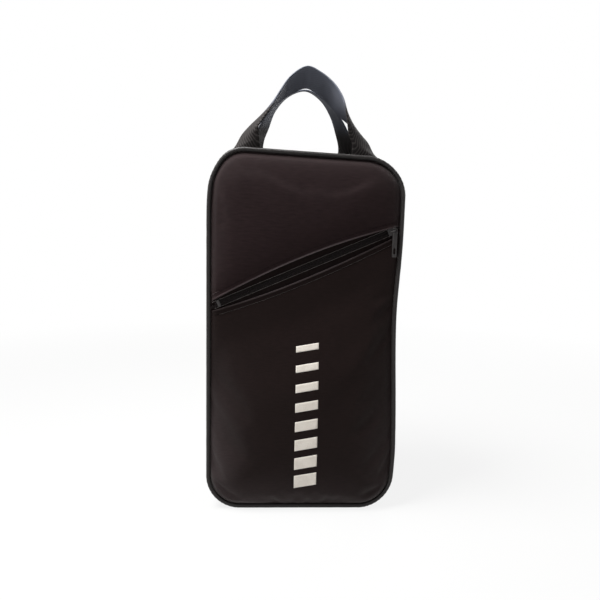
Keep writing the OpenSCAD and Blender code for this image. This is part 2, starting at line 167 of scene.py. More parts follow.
painted_board, tree = unpainted("painted_board")
mottle = add(tree, "TexNoise", {"Scale": 40.0})
paint = add(tree, "MixRGB", {"Fac": mottle.outputs["Fac"], "Color1": linear("c6c6c4"),
                             "Color2": linear("cccccb")})
matt = add(tree, "BsdfDiffuse", {"Color": paint.outputs[0]})
glow = add(tree, "Emission", {"Color": linear("ffffff"), "Strength": 1.0})
place = add(tree, "NewGeometry")
distance = add(tree, "VectorMath", {0: place.outputs["Position"]}, operation="LENGTH")
bright = add(tree, "MapRange", {"Value": distance.outputs["Value"], "From Min": floor_fade[0],
                                "From Max": floor_fade[1], "To Min": floor_glow, "To Max": 1.0},
             interpolation_type="SMOOTHSTEP")
share = add(tree, "Math", {0: seen_directly(tree), 1: bright.outputs[0]}, operation="MULTIPLY")
board = add(tree, "MixShader", {0: share.outputs[0], 1: matt.outputs[0], 2: glow.outputs[0]})
add(tree, "OutputMaterial", {"Surface": board.outputs[0]})
floor_mesh = bpy.data.meshes.new("floor")
floor_corners = [(x * floor_reach, y * floor_reach, -floor_drop)
                 for x, y in ((-1, -1), (1, -1), (1, 1), (-1, 1))]
floor_mesh.from_pydata(floor_corners, [], [(0, 1, 2, 3)])
floor_mesh.materials.append(painted_board)
floor = bpy.data.objects.new("floor", floor_mesh)
bpy.context.scene.collection.objects.link(floor)
floor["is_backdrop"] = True

# Back panel: one piece of plain woven polyester with a thin lining, cut to the bag's outline. Its edge
# is sewn in behind the piping, and what the bag holds crowns it outwards.
low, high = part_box("rear_piping")
bag_w = high.x - low.x
bag_h = high.z
piping_r = (high.y - low.y) / 2
seam_y = (high.y + low.y) / 2
corner_top = 38 * mm
corner_base = 34 * mm
panel_y = -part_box("pocket_panel_base")[0].y
# Sewn edge, floor of the groove beside the piping, and width of the rounded rise out of it
panel_tuck = 3 * mm
groove_in = 4 * mm
groove_y = seam_y - 0.6 * mm
rise_w = 7 * mm
# The seam holds the cloth down to this far inside the outline
seam_hold = groove_in + 1 * mm
cloth_step = 3.2 * mm
cloth_t = 0.5 * mm
# Swelling of a panel inside a narrow margin: a share of it close to the piping, the rest over a longer reach
crown = 10 * mm
swell_margin = 5 * mm
edge_share = 0.4
edge_reach = 9 * mm
swell_reach = 42 * mm
# The right side stands out, apart from a waist below the slider, and the top drops towards the right
side_out = 3.2 * mm
waist_in = 4.2 * mm
waist_z = 195 * mm
waist_above = 55 * mm
waist_below = 85 * mm
top_tilt = 0.045
top_reach = 100 * mm
# The left shoulder droops inwards
shoulder_in = 3.5 * mm
shoulder_z = 338 * mm
shoulder_reach = 22 * mm


def depth_in(x, z):
    """How far a place on a panel lies inside the bag's outline."""
    radius = np.where(z > bag_h / 2, corner_top, corner_base)
    across = np.abs(x) - bag_w / 2 + radius
    along = np.abs(z - bag_h / 2) - bag_h / 2 + radius
    corner = np.hypot(np.maximum(across, 0), np.maximum(along, 0))
    return radius - corner - np.minimum(np.maximum(across, along), 0)


def ramp(value, start, end):
    """0 before start and 1 after end, with a smooth way between them."""
    t = np.clip((value - start) / (end - start), 0, 1)
    return t * t * (3 - 2 * t)


def rise(depth):
    """Distance from the bag's middle plane as the cloth comes out of the groove beside the piping."""
    t = np.clip((depth - groove_in) / rise_w, 0, 1)
    return groove_y + (panel_y - groove_y) * (1 - (1 - t) ** 2)


def swell(depth):
    """How far the filled bag pushes a panel out, at a depth inside its outline."""
    inside = np.maximum(0, depth - swell_margin)
    near, far = np.exp(-inside / edge_reach), np.exp(-inside / swell_reach)
    return crown * (1 - edge_share * near - (1 - edge_share) * far)


def ripples(x, z, wave, seed):
    """Soft unevenness between -1 and 1, with about the given distance between its humps."""
    pairs = zip(x.ravel() / wave, z.ravel() / wave)
    return np.array([noise.noise((a, seed, b)) for a, b in pairs]).reshape(x.shape)


def columns():
    """Sideways places across a panel, closer together where the outline turns its corners."""
    bend = corner_top - panel_tuck
    flat = bag_w / 2 - panel_tuck - bend
    turn = flat + bend * np.sin(np.linspace(0, math.pi / 2, 13))[1:]
    middle = np.linspace(-flat, flat, round(2 * flat / cloth_step) + 1)
    return np.concatenate([-turn[::-1], middle, turn])


def outline_ends(x):
    """Lowest and highest point of a panel's sewn edge at each sideways place."""
    ends = []
    for radius in (corner_base - panel_tuck, corner_top - panel_tuck):
        over = np.maximum(np.abs(x) - (bag_w / 2 - panel_tuck - radius), 0)
        ends.append(radius - np.sqrt(np.maximum(radius ** 2 - over ** 2, 0)))
    return panel_tuck + ends[0], bag_h - panel_tuck - ends[1]


def between(foot, head, first=0.5, last=0.5):
    """Heights from foot to head, closer together at the ends by the shares first and last."""
    count = round(float(np.max(head - foot)) / cloth_step)
    steps = np.ones(count)
    edge = np.arange(count)
    steps *= 1 - first * np.exp(-edge / 3) - last * np.exp(-(count - 1 - edge) / 3)
    share = np.concatenate([[0], np.cumsum(steps)]) / steps.sum()
    return foot + (head - foot) * share[:, None]


def settle(rows, held, slack, air, cap):
    """The cloth is let go between its sewn edges, with some slack in it and a little air behind it."""
    bench = 10
    frames = 22
    count, wide = rows.shape[:2]
    index = np.arange(count * wide).reshape(count, wide)
    quads = np.stack([index[:-1, :-1], index[:-1, 1:], index[1:, 1:], index[1:, :-1]], -1).reshape(-1, 4)
    mesh = bpy.data.meshes.new("loose_cloth")
    mesh.from_pydata((rows.reshape(-1, 3) * bench).tolist(), [], quads.tolist())
    loose = bpy.data.objects.new("loose_cloth", mesh)
    bpy.context.scene.collection.objects.link(loose)
    pins = loose.vertex_groups.new(name="sewn")
    pins.add(index[held].tolist(), 1, "REPLACE")
    cloth = loose.modifiers.new("cloth", "CLOTH")
    cloth.settings.vertex_group_mass = "sewn"
    cloth.settings.quality = 7
    cloth.settings.mass = 0.3
    cloth.settings.tension_stiffness = 25
    cloth.settings.compression_stiffness = 25
    cloth.settings.shear_stiffness = 8
    cloth.settings.bending_stiffness = 1.2
    cloth.settings.air_damping = 2
    cloth.settings.shrink_min = -slack
    cloth.settings.use_pressure = True
    cloth.settings.uniform_pressure_force = air
    cloth.settings.effector_weights.gravity = 0.2
    cloth.collision_settings.use_collision = False
    scene = bpy.context.scene
    for moment in range(1, frames + 1):
        scene.frame_set(moment)
    settled = loose.evaluated_get(bpy.context.evaluated_depsgraph_get())
    points = np.empty(count * wide * 3)
    settled.data.vertices.foreach_get("co", points)
    scene.frame_set(1)
    bpy.data.objects.remove(loose)
    moved = points.reshape(rows.shape) / bench - rows
    length = np.linalg.norm(moved, axis=2, keepdims=True)
    return rows + moved * np.minimum(1, cap / np.maximum(length, 1e-9))


def slouch(points):
    """The filled bag stands a little askew: waisted on the right, drooping on the left shoulder."""
    x, z = points[..., 0], points[..., 2]
    waist = np.exp(-((z - waist_z) / np.where(z > waist_z, waist_above, waist_below)) ** 2)
    moved = points.copy()
    moved[..., 0] += (side_out - waist_in * waist) * ramp(x, 0, bag_w / 2) * ramp(z, 0, 2 * corner_base)
    drooped = np.exp(-((z - shoulder_z) / shoulder_reach) ** 2)
    moved[..., 0] += shoulder_in * drooped * ramp(-x, bag_w / 2 - corner_top, bag_w / 2)
    moved[..., 2] -= top_tilt * x * ramp(z, bag_h - top_reach, bag_h)
    return moved


def skin(name, patches, material, thickness=0.0, smooth=0, askew=True, paled=None):
    """A piece made of patches: rows of points, with pattern places in metres, open or closed round."""
    points, faces, flats = [], [], []
    for rows, flat, closed in patches:
        start = sum(len(p) for p in points)
        count, wide = rows.shape[:2]
        index = np.arange(count * wide).reshape(count, wide) + start
        if closed:
            index = np.concatenate([index, index[:, :1]], 1)
        corners = ((0, 0), (0, 1), (1, 1), (1, 0))
        pick = [(slice(i, count - 1 + i), slice(j, index.shape[1] - 1 + j)) for i, j in corners]
        faces += np.stack([index[p] for p in pick], -1).reshape(-1, 4).tolist()
        flats.append(np.stack([flat[p] for p in pick], 2).reshape(-1, 2))
        if closed:
            faces += [index[0, :-1][::-1].tolist(), index[-1, :-1].tolist()]
            flats += [flat[0, :-1][::-1], flat[-1, :-1]]
        points.append((slouch(rows) if askew else rows).reshape(-1, 3))
    mesh = bpy.data.meshes.new(name)
    mesh.from_pydata(np.concatenate(points).tolist(), [], faces)
    cut = mesh.uv_layers.new(name="cut")
    cut.data.foreach_set("uv", np.concatenate(flats).astype(np.float32).ravel())
    # A share per point by which the cloth is painted paler: painted highlight and painted floor light
    if paled is not None:
        mesh.attributes.new("paled", "FLOAT", "POINT").data.foreach_set("value", paled.ravel())
    mesh.shade_smooth()
    mesh.materials.append(material)
    piece = bpy.data.objects.new(name, mesh)
    bpy.context.scene.collection.objects.link(piece)
    if thickness:
        body = piece.modifiers.new("thickness", "SOLIDIFY")
        body.thickness = thickness
        body.offset = -1
    if smooth:
        fine = piece.modifiers.new("smooth", "SUBSURF")
        fine.levels = smooth
        fine.render_levels = smooth
    return piece


def stands_for(piece, slot, *nodes):
    """The nodes' solids are hidden, and the piece shows in their place. The slot is not used."""
    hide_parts(*nodes)


def woven(name, shade, tint, thread, relief, rough, gloss, sheen, turn=0.0, long=1.0):
    """Plain woven cloth: threads that cross over and under, a little uneven in tone and height."""
    material, tree = unpainted(name)
    cut = add(tree, "UVMap", uv_map="cut")
    spacing = add(tree, "Mapping", {"Vector": cut.outputs[0], "Rotation": (0, 0, math.radians(turn)),
                                    "Scale": (1 / thread, 1 / (thread * long), 1)})
    # A wave of one thread per unit has this scale
    one_thread = math.pi / 10
    warp = add(tree, "TexWave", {"Vector": spacing.outputs[0], "Scale": one_thread}, bands_direction="X")
    weft = add(tree, "TexWave", {"Vector": spacing.outputs[0], "Scale": one_thread}, bands_direction="Y")
    over = add(tree, "TexChecker", {"Vector": spacing.outputs[0], "Scale": 1.0})
    threads = add(tree, "MixRGB", {"Fac": over.outputs["Fac"], "Color1": warp.outputs["Color"],
                                   "Color2": weft.outputs["Color"]})
    slack_weft = add(tree, "Mapping", {"Vector": spacing.outputs[0], "Scale": (0.12, 0.6, 1)})
    slub = add(tree, "TexNoise", {"Vector": slack_weft.outputs[0], "Scale": 1.0, "Detail": 3.0})
    streak = add(tree, "MapRange", {"Value": slub.outputs["Fac"], "From Min": 0.3, "From Max": 0.7})
    patch = add(tree, "TexNoise", {"Vector": cut.outputs[0], "Scale": 28.0, "Detail": 4.0})
    height = add(tree, "MixRGB", {"Fac": 0.3, "Color1": threads.outputs[0], "Color2": streak.outputs[0]})
    mixed = add(tree, "MixRGB", {"Fac": 0.5, "Color1": height.outputs[0], "Color2": streak.outputs[0]})
    tone = add(tree, "MixRGB", {"Fac": 0.35, "Color1": mixed.outputs[0], "Color2": patch.outputs["Fac"]})
    dyed = add(tree, "MixRGB", {"Fac": tone.outputs[0], "Color1": linear(shade), "Color2": linear(tint)})
    # Paling: a painted highlight on folded edges, partly rubbing, and painted floor light on the lower
    # corners.
    # Both are strongest on the threads that stand up
    fold = add(tree, "Attribute", attribute_name="paled")
    paling = add(tree, "MapRange", {"Value": height.outputs[0], "From Min": -1.0, "To Max": fold.outputs["Fac"]})
    colour = add(tree, "MixRGB", {"Fac": paling.outputs[0], "Color1": dyed.outputs[0],
                                  "Color2": linear("645a5c")})
    dull = add(tree, "MapRange", {"Value": patch.outputs["Fac"], "From Min": 0.3, "From Max": 0.7,
                                  "To Min": rough - 0.06, "To Max": rough + 0.06})
    bump = add(tree, "Bump", {"Height": height.outputs[0], "Strength": 0.7, "Distance": relief})
    cloth = add(tree, "BsdfPrincipled", {
        "Base Color": colour.outputs[0], "Roughness": dull.outputs[0], "Normal": bump.outputs[0],
        "Specular IOR Level": gloss, "Sheen Weight": sheen, "Sheen Roughness": 0.45,
        "Sheen Tint": linear("b4b2b0")})
    add(tree, "OutputMaterial", {"Surface": cloth.outputs[0]})
    return material


# Woven polyester of the panels: matte, with a faint bloom at grazing angles. Its real threads lie 0.5 mm
# apart, and they are drawn twice as coarse so that the weave shows.
panel_cloth = woven("woven_polyester", "180f10", "291d1e", thread=1.0 * mm, relief=0.2 * mm, rough=0.6,
                    gloss=0.03, sheen=0.4)
across = columns()[::-1]
foot, head = outline_ends(across)
heights = between(foot, head)
places = np.broadcast_to(across, heights.shape)
inward = depth_in(places, heights)
crowned = rise(inward) + swell(inward)
rows = np.stack([places, crowned, heights], -1)
rows = settle(rows, inward < seam_hold, slack=0.012, air=0.25, cap=2.5 * mm)
flat = np.stack([places, heights], -1)
back_panel = skin("back_panel_cloth", [(rows, flat, False)], panel_cloth, cloth_t, smooth=1)
stands_for(back_panel, "panel_cloth", "back_panel")
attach(back_panel, "rear_half")

# Pocket lining: a thin plain lining cloth across the whole front, which is the back wall of the pocket
# and the inside face of the front. It is caught in the same seam as the front panels.
lining_low, lining_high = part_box("pocket_lining")
lining_y = (lining_low.y + lining_high.y) / 2
lining_in = lining_low.x + bag_w / 2
lining_t = 0.4 * mm
lining_sag = 0.35 * mm
sag_wave = 42 * mm
# The front bends open round the crease at the ends of the main zip
crease = Vector(next(j for j in frame["joints"] if j["name"] == "front_opening")["pos_m"])


def bends_open(piece):
    """The piece's place is baked into its mesh."""
    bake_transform(piece)


# Lining taffeta: a thin, smooth, very dark cloth with a slight shine. Its threads are drawn twice as coarse
lining_cloth = woven("lining_taffeta", "131214", "212023", thread=0.7 * mm, relief=0.06 * mm, rough=0.55,
                     gloss=0.12, sheen=0.05)
across = columns() * (bag_w / 2 - lining_in) / (bag_w / 2 - panel_tuck)
foot, head = outline_ends(columns())
shrink = lining_in - panel_tuck
heights = between(foot + shrink, head - shrink)
places = np.broadcast_to(across, heights.shape)
sag = lining_sag * ripples(places, heights, sag_wave, 3.0)
rows = np.stack([places, lining_y + sag, heights], -1)
flat = np.stack([places, heights], -1)
pocket_lining = skin("pocket_lining_cloth", [(rows, flat, False)], lining_cloth, lining_t)
stands_for(pocket_lining, "tape_cloth", "pocket_lining", "pocket_lining_base")
bends_open(pocket_lining)

# Upper front panel: the same woven polyester as the back. Its lower edge is folded under and sewn to
# the zip tape, and it stands up from the zip in the middle, where the two edges bow apart.
zip_x = -1 * mm
zip_z = 243.5 * mm
zip_angle = math.radians(23.5)
zip_half = bag_w / 2 / math.cos(zip_angle)
gape_end = 3.4 * mm
# The upper edge bows up further than the lower one bows down
gape_bow = {1: 6.5 * mm, -1: 6 * mm}
gape_tries = 5
fold_r = 0.8 * mm
fold_under = 5 * mm
fold_hold = 1.5 * mm
# Distances of the first rows of cloth from the fold. One of them carries the stitches
lip_rows = np.array([0, 0.4, 0.8, 1.3, 1.9, 2.6, 3.4, 4.2, 5.4, 7.2]) * mm
stitch_row = 7
# The fold stands up as a soft ridge, and the stitches pull a groove beside it
ridge_h = 1.6 * mm
ridge_w = 0.9 * mm
groove_d = 0.3 * mm
groove_w = 1.3 * mm
ridge_fade = 9 * mm
# Share of the swelling that is missing at the folded edge, and the reach that it takes
lip_drop = 0.8
lip_reach = 16 * mm
# Width of the paler band beside each fold, and how far each edge is made paler: partly rubbing, mostly a
# painted highlight along the fold
rub_highlight_w = 0.8 * mm
rub_highlight_upper = 0.8
rub_highlight_pocket = 0.4
# Towards the seam the painted highlight and rubbing fade over this distance, down to this share
rub_highlight_fade = 75 * mm
rub_highlight_least = 0.15


def zip_run(x, z):
    """Distance along the slanted zip from its middle, and above it."""
    dx, dz = x - zip_x, z - zip_z
    along = dx * math.cos(zip_angle) + dz * math.sin(zip_angle)
    above = dz * math.cos(zip_angle) - dx * math.sin(zip_angle)
    return along, above


def gape(run, side):
    """Distance from the middle of the zip to the cloth edge above it (side 1) or below it (side -1)."""
    return gape_end + gape_bow[side] * np.maximum(0, 1 - (run / zip_half) ** 2)


def zip_edge(x, side):
    """Height of the folded cloth edge above (side 1) or below (side -1) the zip, at each sideways place."""
    z = zip_z + (x - zip_x) * math.tan(zip_angle)
    for _ in range(gape_tries):
        run, above = zip_run(x, z)
        z = z + (side * (gape(run, side) + fold_r) - above) / math.cos(zip_angle)
    return z


def folded(edge, side):
    """Rows that turn the cloth round its edge beside the zip and back underneath it."""
    towards = -side * np.array([-math.sin(zip_angle), 0, math.cos(zip_angle)])
    turns = [math.radians(a) for a in (30, 60, 90, 120, 150, 180)]
    inside = np.array([0, 1, 0])
    bent = [edge + towards * fold_r * math.sin(a) + inside * fold_r * (1 - math.cos(a)) for a in turns]
    return np.stack(bent + [bent[-1] - towards * fold_under])


def rub_and_highlight(from_fold, inward, most):
    """How far a folded edge is painted pale, partly rubbing and partly a painted highlight, fading away from
    the fold and towards the seam.
    """
    near = np.exp(-(np.maximum(0, from_fold) / rub_highlight_w) ** 2)
    return most * near * (rub_highlight_least + (1 - rub_highlight_least) * ramp(inward, groove_in, groove_in + rub_highlight_fade))


def ridge(from_fold, inward):
    """How far the cloth stands up beside its fold, fading where the panel goes into the seam."""
    groove = groove_d * np.exp(-((from_fold - lip_rows[stitch_row]) / groove_w) ** 2)
    fold = ridge_h * np.exp(-np.maximum(0, from_fold) / ridge_w)
    return (fold - groove) * ramp(inward, groove_in, groove_in + ridge_fade)


across = columns()
foot, head = outline_ends(across)
edge_z = zip_edge(across, 1)
beside = edge_z + lip_rows[:, None] / math.cos(zip_angle)
heights = np.concatenate([beside, between(beside[-1], head, first=0.3)[1:]])
places = np.broadcast_to(across, heights.shape)
inward = depth_in(places, heights)
run, above = zip_run(places, heights)
from_edge = above - gape(run, 1)
crowned = rise(inward) + swell(inward) * (1 - lip_drop * np.exp(-np.maximum(0, from_edge) / lip_reach))
rows = np.stack([places, -crowned, heights], -1)
held = (inward < seam_hold) | (from_edge < fold_hold)
rows = settle(rows, held, slack=0.001, air=0.25, cap=0.6 * mm)
rows[..., 1] -= ridge(from_edge - fold_r, inward)
flat = np.stack([places, heights], -1)
upper_seam = rows[stitch_row]
lip = folded(rows[0], 1)[::-1]
lip_flat = flat[:1] - np.array([0, 1]) * (np.arange(len(lip), 0, -1) * fold_r / 2)[:, None, None]
# Painted highlight along the upper fold, with some rubbing, as a share per point
paled = rub_and_highlight(from_edge - fold_r, inward, rub_highlight_upper)
paled = np.concatenate([np.zeros(lip.shape[:2]), paled])
paled[len(lip) - 2:len(lip)] = paled[len(lip)]
patch = np.concatenate([lip, rows]), np.concatenate([lip_flat, flat]), False
upper_panel = skin("front_upper_cloth", [patch], panel_cloth, cloth_t, smooth=1, paled=paled)
stands_for(upper_panel, "panel_cloth", "front_panel_upper")
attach(upper_panel, "front_half")

# Pocket panel: a closer woven polyester with a slight shine. Its upper edge is folded under and sewn to
# the zip tape. It lies flat under the zip, sags into soft creases and crowns towards the base.
# It stays flat where the pull tab swings, and swells over the next stretch
tab_room = 28 * mm
belly_reach = 82 * mm
# Close to the zip the cloth keeps this share of its smooth shape, and lies freely past this reach
smooth_share = 0.8
smooth_reach = 30 * mm
# Soft slanted creases where the cloth hangs slack below the slider
crease_slope = math.radians(50)
crease_x = 66 * mm
crease_wide = 26 * mm
crease_z = 140 * mm
crease_tall = 45 * mm
crease_h = 0.9 * mm
crease_pitch = 34 * mm
# The lower corners are painted paler grey for the floor light on them, and more so on the left
painted_floor_light = 0.26
painted_floor_light_reach = 26 * mm
painted_floor_light_top = 50 * mm, 190 * mm
painted_floor_light_lean = 0.35
# Satin polyester: smoother and darker than the panels' cloth. Its threads are drawn twice as coarse
pocket_cloth = woven("satin_polyester", "100908", "1d1312", thread=0.8 * mm, relief=0.08 * mm, rough=0.5,
                     gloss=0.03, sheen=0.4)
edge_z = zip_edge(across, -1)
beside = edge_z - lip_rows[::-1, None] / math.cos(zip_angle)
heights = np.concatenate([between(foot, beside[0], last=0.3), beside[1:]])
places = np.broadcast_to(across, heights.shape)
inward = depth_in(places, heights)
run, above = zip_run(places, heights)
from_edge = -above - gape(run, -1)
crowned = rise(inward) + swell(inward) * ramp(from_edge, tab_room, tab_room + belly_reach)
rows = np.stack([places, -crowned, heights], -1)
held = (inward < seam_hold) | (from_edge < fold_hold)
loose = settle(rows, held, slack=0.009, air=0.25, cap=2 * mm)
near_zip = (1 - ramp(from_edge, tab_room, tab_room + smooth_reach))[:, :, None]
rows = loose + (rows - loose) * smooth_share * near_zip
rows[..., 1] -= ridge(from_edge - fold_r, inward)
slanted = places * math.sin(crease_slope) - heights * math.cos(crease_slope)
creased = np.exp(-((places - crease_x) / crease_wide) ** 2 - ((heights - crease_z) / crease_tall) ** 2)
rows[..., 1] -= crease_h * creased * np.sin(2 * math.pi * slanted / crease_pitch)
flat = np.stack([places, heights], -1)
lip = folded(rows[-1], -1)
lip_flat = flat[-1:] + np.array([0, 1]) * (np.arange(1, len(lip) + 1) * fold_r / 2)[:, None, None]
pocket_seam = rows[-1 - stitch_row]
# Painted floor light on the lower corners, joined to the painted highlight along the fold
floor_lit = painted_floor_light * np.exp(-(np.maximum(0, inward - groove_in) / painted_floor_light_reach) ** 2)
floor_lit *= (1 - ramp(heights, *painted_floor_light_top)) * (1 - painted_floor_light_lean * (1 + 2 * places / bag_w))
paled = np.maximum(rub_and_highlight(from_edge - fold_r, inward, rub_highlight_pocket), floor_lit)
paled = np.concatenate([paled, np.zeros(lip.shape[:2])])
paled[len(rows):len(rows) + 2] = paled[len(rows) - 1]
patch = np.concatenate([rows, lip]), np.concatenate([flat, lip_flat]), False
pocket_panel = skin("pocket_cloth", [patch], pocket_cloth, cloth_t, smooth=1, paled=paled)
stands_for(pocket_panel, "pocket_cloth", "pocket_panel", "pocket_panel_base")
pocket_face = BVHTree.FromObject(pocket_panel, bpy.context.evaluated_depsgraph_get())
bends_open(pocket_panel)

# Printed bars: a column of slanted bars of cream transfer film, pressed onto the pocket so that it takes
# every unevenness of the cloth under it. The bars get lower towards the top.
bar_count = 8
bar_w = 22 * mm
bar_h = 13 * mm
bar_shrink = 1 * mm
bar_slant = 4 * mm
bar_pitch = 19 * mm
bar_x = 5 * mm
bar_z = 34 * mm
film_t = 0.1 * mm
film_proud = 0.12 * mm
film_step = 1 * mm

# Transfer film: matte cream vinyl, a little rubbed where the threads under it stand up
transfer_film, tree = unpainted("transfer_film")
cut = add(tree, "UVMap", uv_map="cut")
grain = add(tree, "TexNoise", {"Vector": cut.outputs[0], "Scale": 1 / (0.9 * mm), "Detail": 3.0})
paling = add(tree, "TexNoise", {"Vector": cut.outputs[0], "Scale": 1 / (9 * mm), "Detail": 5.0})
worn = add(tree, "MixRGB", {"Fac": 0.5, "Color1": grain.outputs["Fac"], "Color2": paling.outputs["Fac"]})
tone = add(tree, "MapRange", {"Value": worn.outputs[0], "From Min": 0.35, "From Max": 0.6})
cream = add(tree, "MixRGB", {"Fac": tone.outputs[0], "Color1": linear("d0c8be"), "Color2": linear("e0d9d0")})
bump = add(tree, "Bump", {"Height": worn.outputs[0], "Strength": 0.5, "Distance": 0.05 * mm})
dull = add(tree, "MapRange", {"Value": paling.outputs["Fac"], "To Min": 0.45, "To Max": 0.65})
film = add(tree, "BsdfPrincipled", {"Base Color": cream.outputs[0], "Roughness": dull.outputs[0],
                                    "Specular IOR Level": 0.3, "Normal": bump.outputs[0]})
add(tree, "OutputMaterial", {"Surface": film.outputs[0]})

bars = []
for i in range(bar_count):
    half = (bar_h - i * bar_shrink) / 2
    u = np.linspace(-bar_w / 2, bar_w / 2, round(bar_w / film_step) + 1)
    v = np.linspace(-half, half, round(2 * half / film_step) + 1)
    u, v = np.meshgrid(u, v)
    x = bar_x + u
    z = bar_z + i * bar_pitch + v + bar_slant * u / bar_w
    hits = [pocket_face.ray_cast((a, -bag_w, b), (0, 1, 0))[0] for a, b in zip(x.ravel(), z.ravel())]
    y = np.reshape([hit.y - film_proud for hit in hits], x.shape)
    bars.append((np.stack([x, y, z], -1), np.stack([x, z], -1), False))
printed_bars = skin("printed_bars_film", bars, transfer_film, film_t)
stands_for(printed_bars, "print_film", "printed_bars", "printed_bars_base")
bends_open(printed_bars)

# Pocket zip: a nylon coil zip, closed, on two knitted tapes. The tapes are sewn under the folded edges
# of the two front panels, and a metal stop is clamped over the coils at the lower end.
tape_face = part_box("pocket_zip_tape_upper")[0].y
tape_t = 0.5 * mm
tape_reach = 13 * mm
tape_gap = 0.5 * mm
tape_tuck = 2.2 * mm
tooth_reach = 2.9 * mm
tooth_t = 1.4 * mm
# How far the heads of each coil hook in between those of the other one
tooth_hook = 0.35 * mm
wire_r = 0.3 * mm
pocket_pitch = 1.3 * mm
coil_steps = 10
coil_sides = 5
coil_end = 1 * mm
tape_rows = 10
tape_columns = 90
tape_uneven = 0.12 * mm
tape_wave = 16 * mm


def zip_place(run, above, y):
    """Points at distances along the slanted zip and above it."""
    run, above, y = np.broadcast_arrays(run, above, y)
    x = zip_x + run * math.cos(zip_angle) - above * math.sin(zip_angle)
    z = zip_z + run * math.sin(zip_angle) + above * math.cos(zip_angle)
    return np.stack([x, y, z], -1)


def unit(ways):
    """The same directions with a length of one."""
    return ways / np.linalg.norm(ways, axis=1, keepdims=True)


def gone_along(path):
    """Distance from the start of a path at each of its points."""
    return np.concatenate([[0], np.cumsum(np.linalg.norm(np.diff(path, axis=0), axis=1))])


def tubing(path, radius, sides, lean):
    """A closed patch round a path. The path never follows the direction lean."""
    way = unit(np.gradient(path, axis=0))
    first = unit(np.cross(way, lean))
    second = np.cross(way, first)
    turn = np.linspace(0, 2 * math.pi, sides, endpoint=False)[:, None]
    ring = np.cos(turn) * first[:, None] + np.sin(turn) * second[:, None]
    rows = path[:, None] + np.reshape(radius, (-1, 1, 1)) * ring
    around = np.linspace(0, 2 * math.pi * np.mean(radius), sides + 1)
    return rows, np.stack(np.meshgrid(around, gone_along(path)), -1), True


def coil_turns(length, pitch, side):
    """Distance along a coil, across the zip and out from its tape, turn by turn."""
    turns = int(length / pitch)
    angle = np.arange(turns * coil_steps + 1) * 2 * math.pi / coil_steps
    swing = (tooth_reach + tooth_hook) / 2 - wire_r
    across = side * ((tooth_reach - tooth_hook) / 2 - swing * np.cos(angle))
    shift = 0.5 if side > 0 else 0.0
    along = pitch * (angle / (2 * math.pi) + shift)
    out = tooth_t / 2 - (tooth_t / 2 - wire_r) * np.sin(angle)
    return along, across, out


# Knitted polyester tape: fine ribs along the zip, dull and very dark. The ribs are drawn at 0.8 mm
tape_knit = woven("knitted_tape", "0d0808", "1c1413", thread=0.8 * mm, relief=0.2 * mm, rough=0.75,
                  gloss=0.05, sheen=0.06, long=2.0)
# Nylon monofilament: extruded wire with a soft gloss
nylon_wire, tree = unpainted("nylon_monofilament")
cut = add(tree, "UVMap", uv_map="cut")
drawn = add(tree, "Mapping", {"Vector": cut.outputs[0], "Scale": (1 / (0.3 * mm), 1 / (4 * mm), 1)})
haze = add(tree, "TexNoise", {"Vector": drawn.outputs[0], "Scale": 1.0, "Detail": 3.0})
dye = add(tree, "MixRGB", {"Fac": haze.outputs["Fac"], "Color1": linear("100b0b"),
                           "Color2": linear("1c1514")})
gloss = add(tree, "MapRange", {"Value": haze.outputs["Fac"], "To Min": 0.3, "To Max": 0.46})
bump = add(tree, "Bump", {"Height": haze.outputs["Fac"], "Strength": 0.3, "Distance": 0.02 * mm})
wire = add(tree, "BsdfPrincipled", {"Base Color": dye.outputs[0], "Roughness": gloss.outputs[0],
                                    "Specular IOR Level": 0.15, "Normal": bump.outputs[0]})
add(tree, "OutputMaterial", {"Surface": wire.outputs[0]})
for side, place in ((1, "upper"), (-1, "lower")):
    above = side * np.linspace(tape_gap, tape_reach, tape_rows)[::side, None]
    reach = bag_w / 2 - tape_tuck
    left = (-reach - zip_x + above * math.sin(zip_angle)) / math.cos(zip_angle)
    right_end = (reach - zip_x + above * math.sin(zip_angle)) / math.cos(zip_angle)
    run = left + (right_end - left) * np.linspace(0, 1, tape_columns)
    above = np.broadcast_to(above, run.shape)
    wave = tape_uneven * ripples(run, above, tape_wave, 5.0 + side)
    rows = zip_place(run, above, tape_face + wave)
    flat = np.stack([above, run], -1)
    tape = skin("pocket_tape_" + place, [(rows, flat, False)], tape_knit, tape_t, askew=False)
    stands_for(tape, "tape_cloth", "pocket_zip_tape_" + place)
    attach(tape, "front_half")
    first, last = left.max() + coil_end, right_end.min() - coil_end
    gone, across, out = coil_turns(last - first, pocket_pitch, side)
    path = zip_place(first + gone, across, tape_face - out)
    lean = np.array([math.cos(zip_angle), 0, math.sin(zip_angle)])
    teeth = skin("pocket_coil_" + place, [tubing(path, wire_r, coil_sides, lean)], nylon_wire, askew=False)
    stands_for(teeth, "zip_plastic", "pocket_zip_teeth_" + place)
    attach(teeth, "front_half")

# Stitching of the pocket zip: one row of dark polyester thread through each folded edge and its tape, and
# one of brighter filament thread that holds each coil down on its tape.
thread_r = 0.2 * mm
thread_sides = 6
stitch_pitch = 3.2 * mm
# Places along one stitch, as shares of its pitch, and how far they stand up, in radii of the thread
stitch_places = np.array([0.1, 0.25, 0.5, 0.75, 0.9])
stitch_lift = np.array([-1.2, 0.5, 0.9, 0.5, -1.2])
chain_at = 3.3 * mm
chain_pitch = 2.6 * mm
chain_steps = 60
# Spun thread is dull, and filament thread is smooth and pale. Their plies lie on a slant, 0.4 mm apart
sewing_thread = woven("sewing_thread", "0c0809", "171112", thread=0.4 * mm, relief=0.05 * mm, rough=0.8,
                      gloss=0.01, sheen=0.01, turn=30)
filament_thread = woven("filament_thread", "625e5c", "86817e", thread=0.4 * mm, relief=0.05 * mm, rough=0.4,
                        gloss=0.4, sheen=0.25, turn=30)


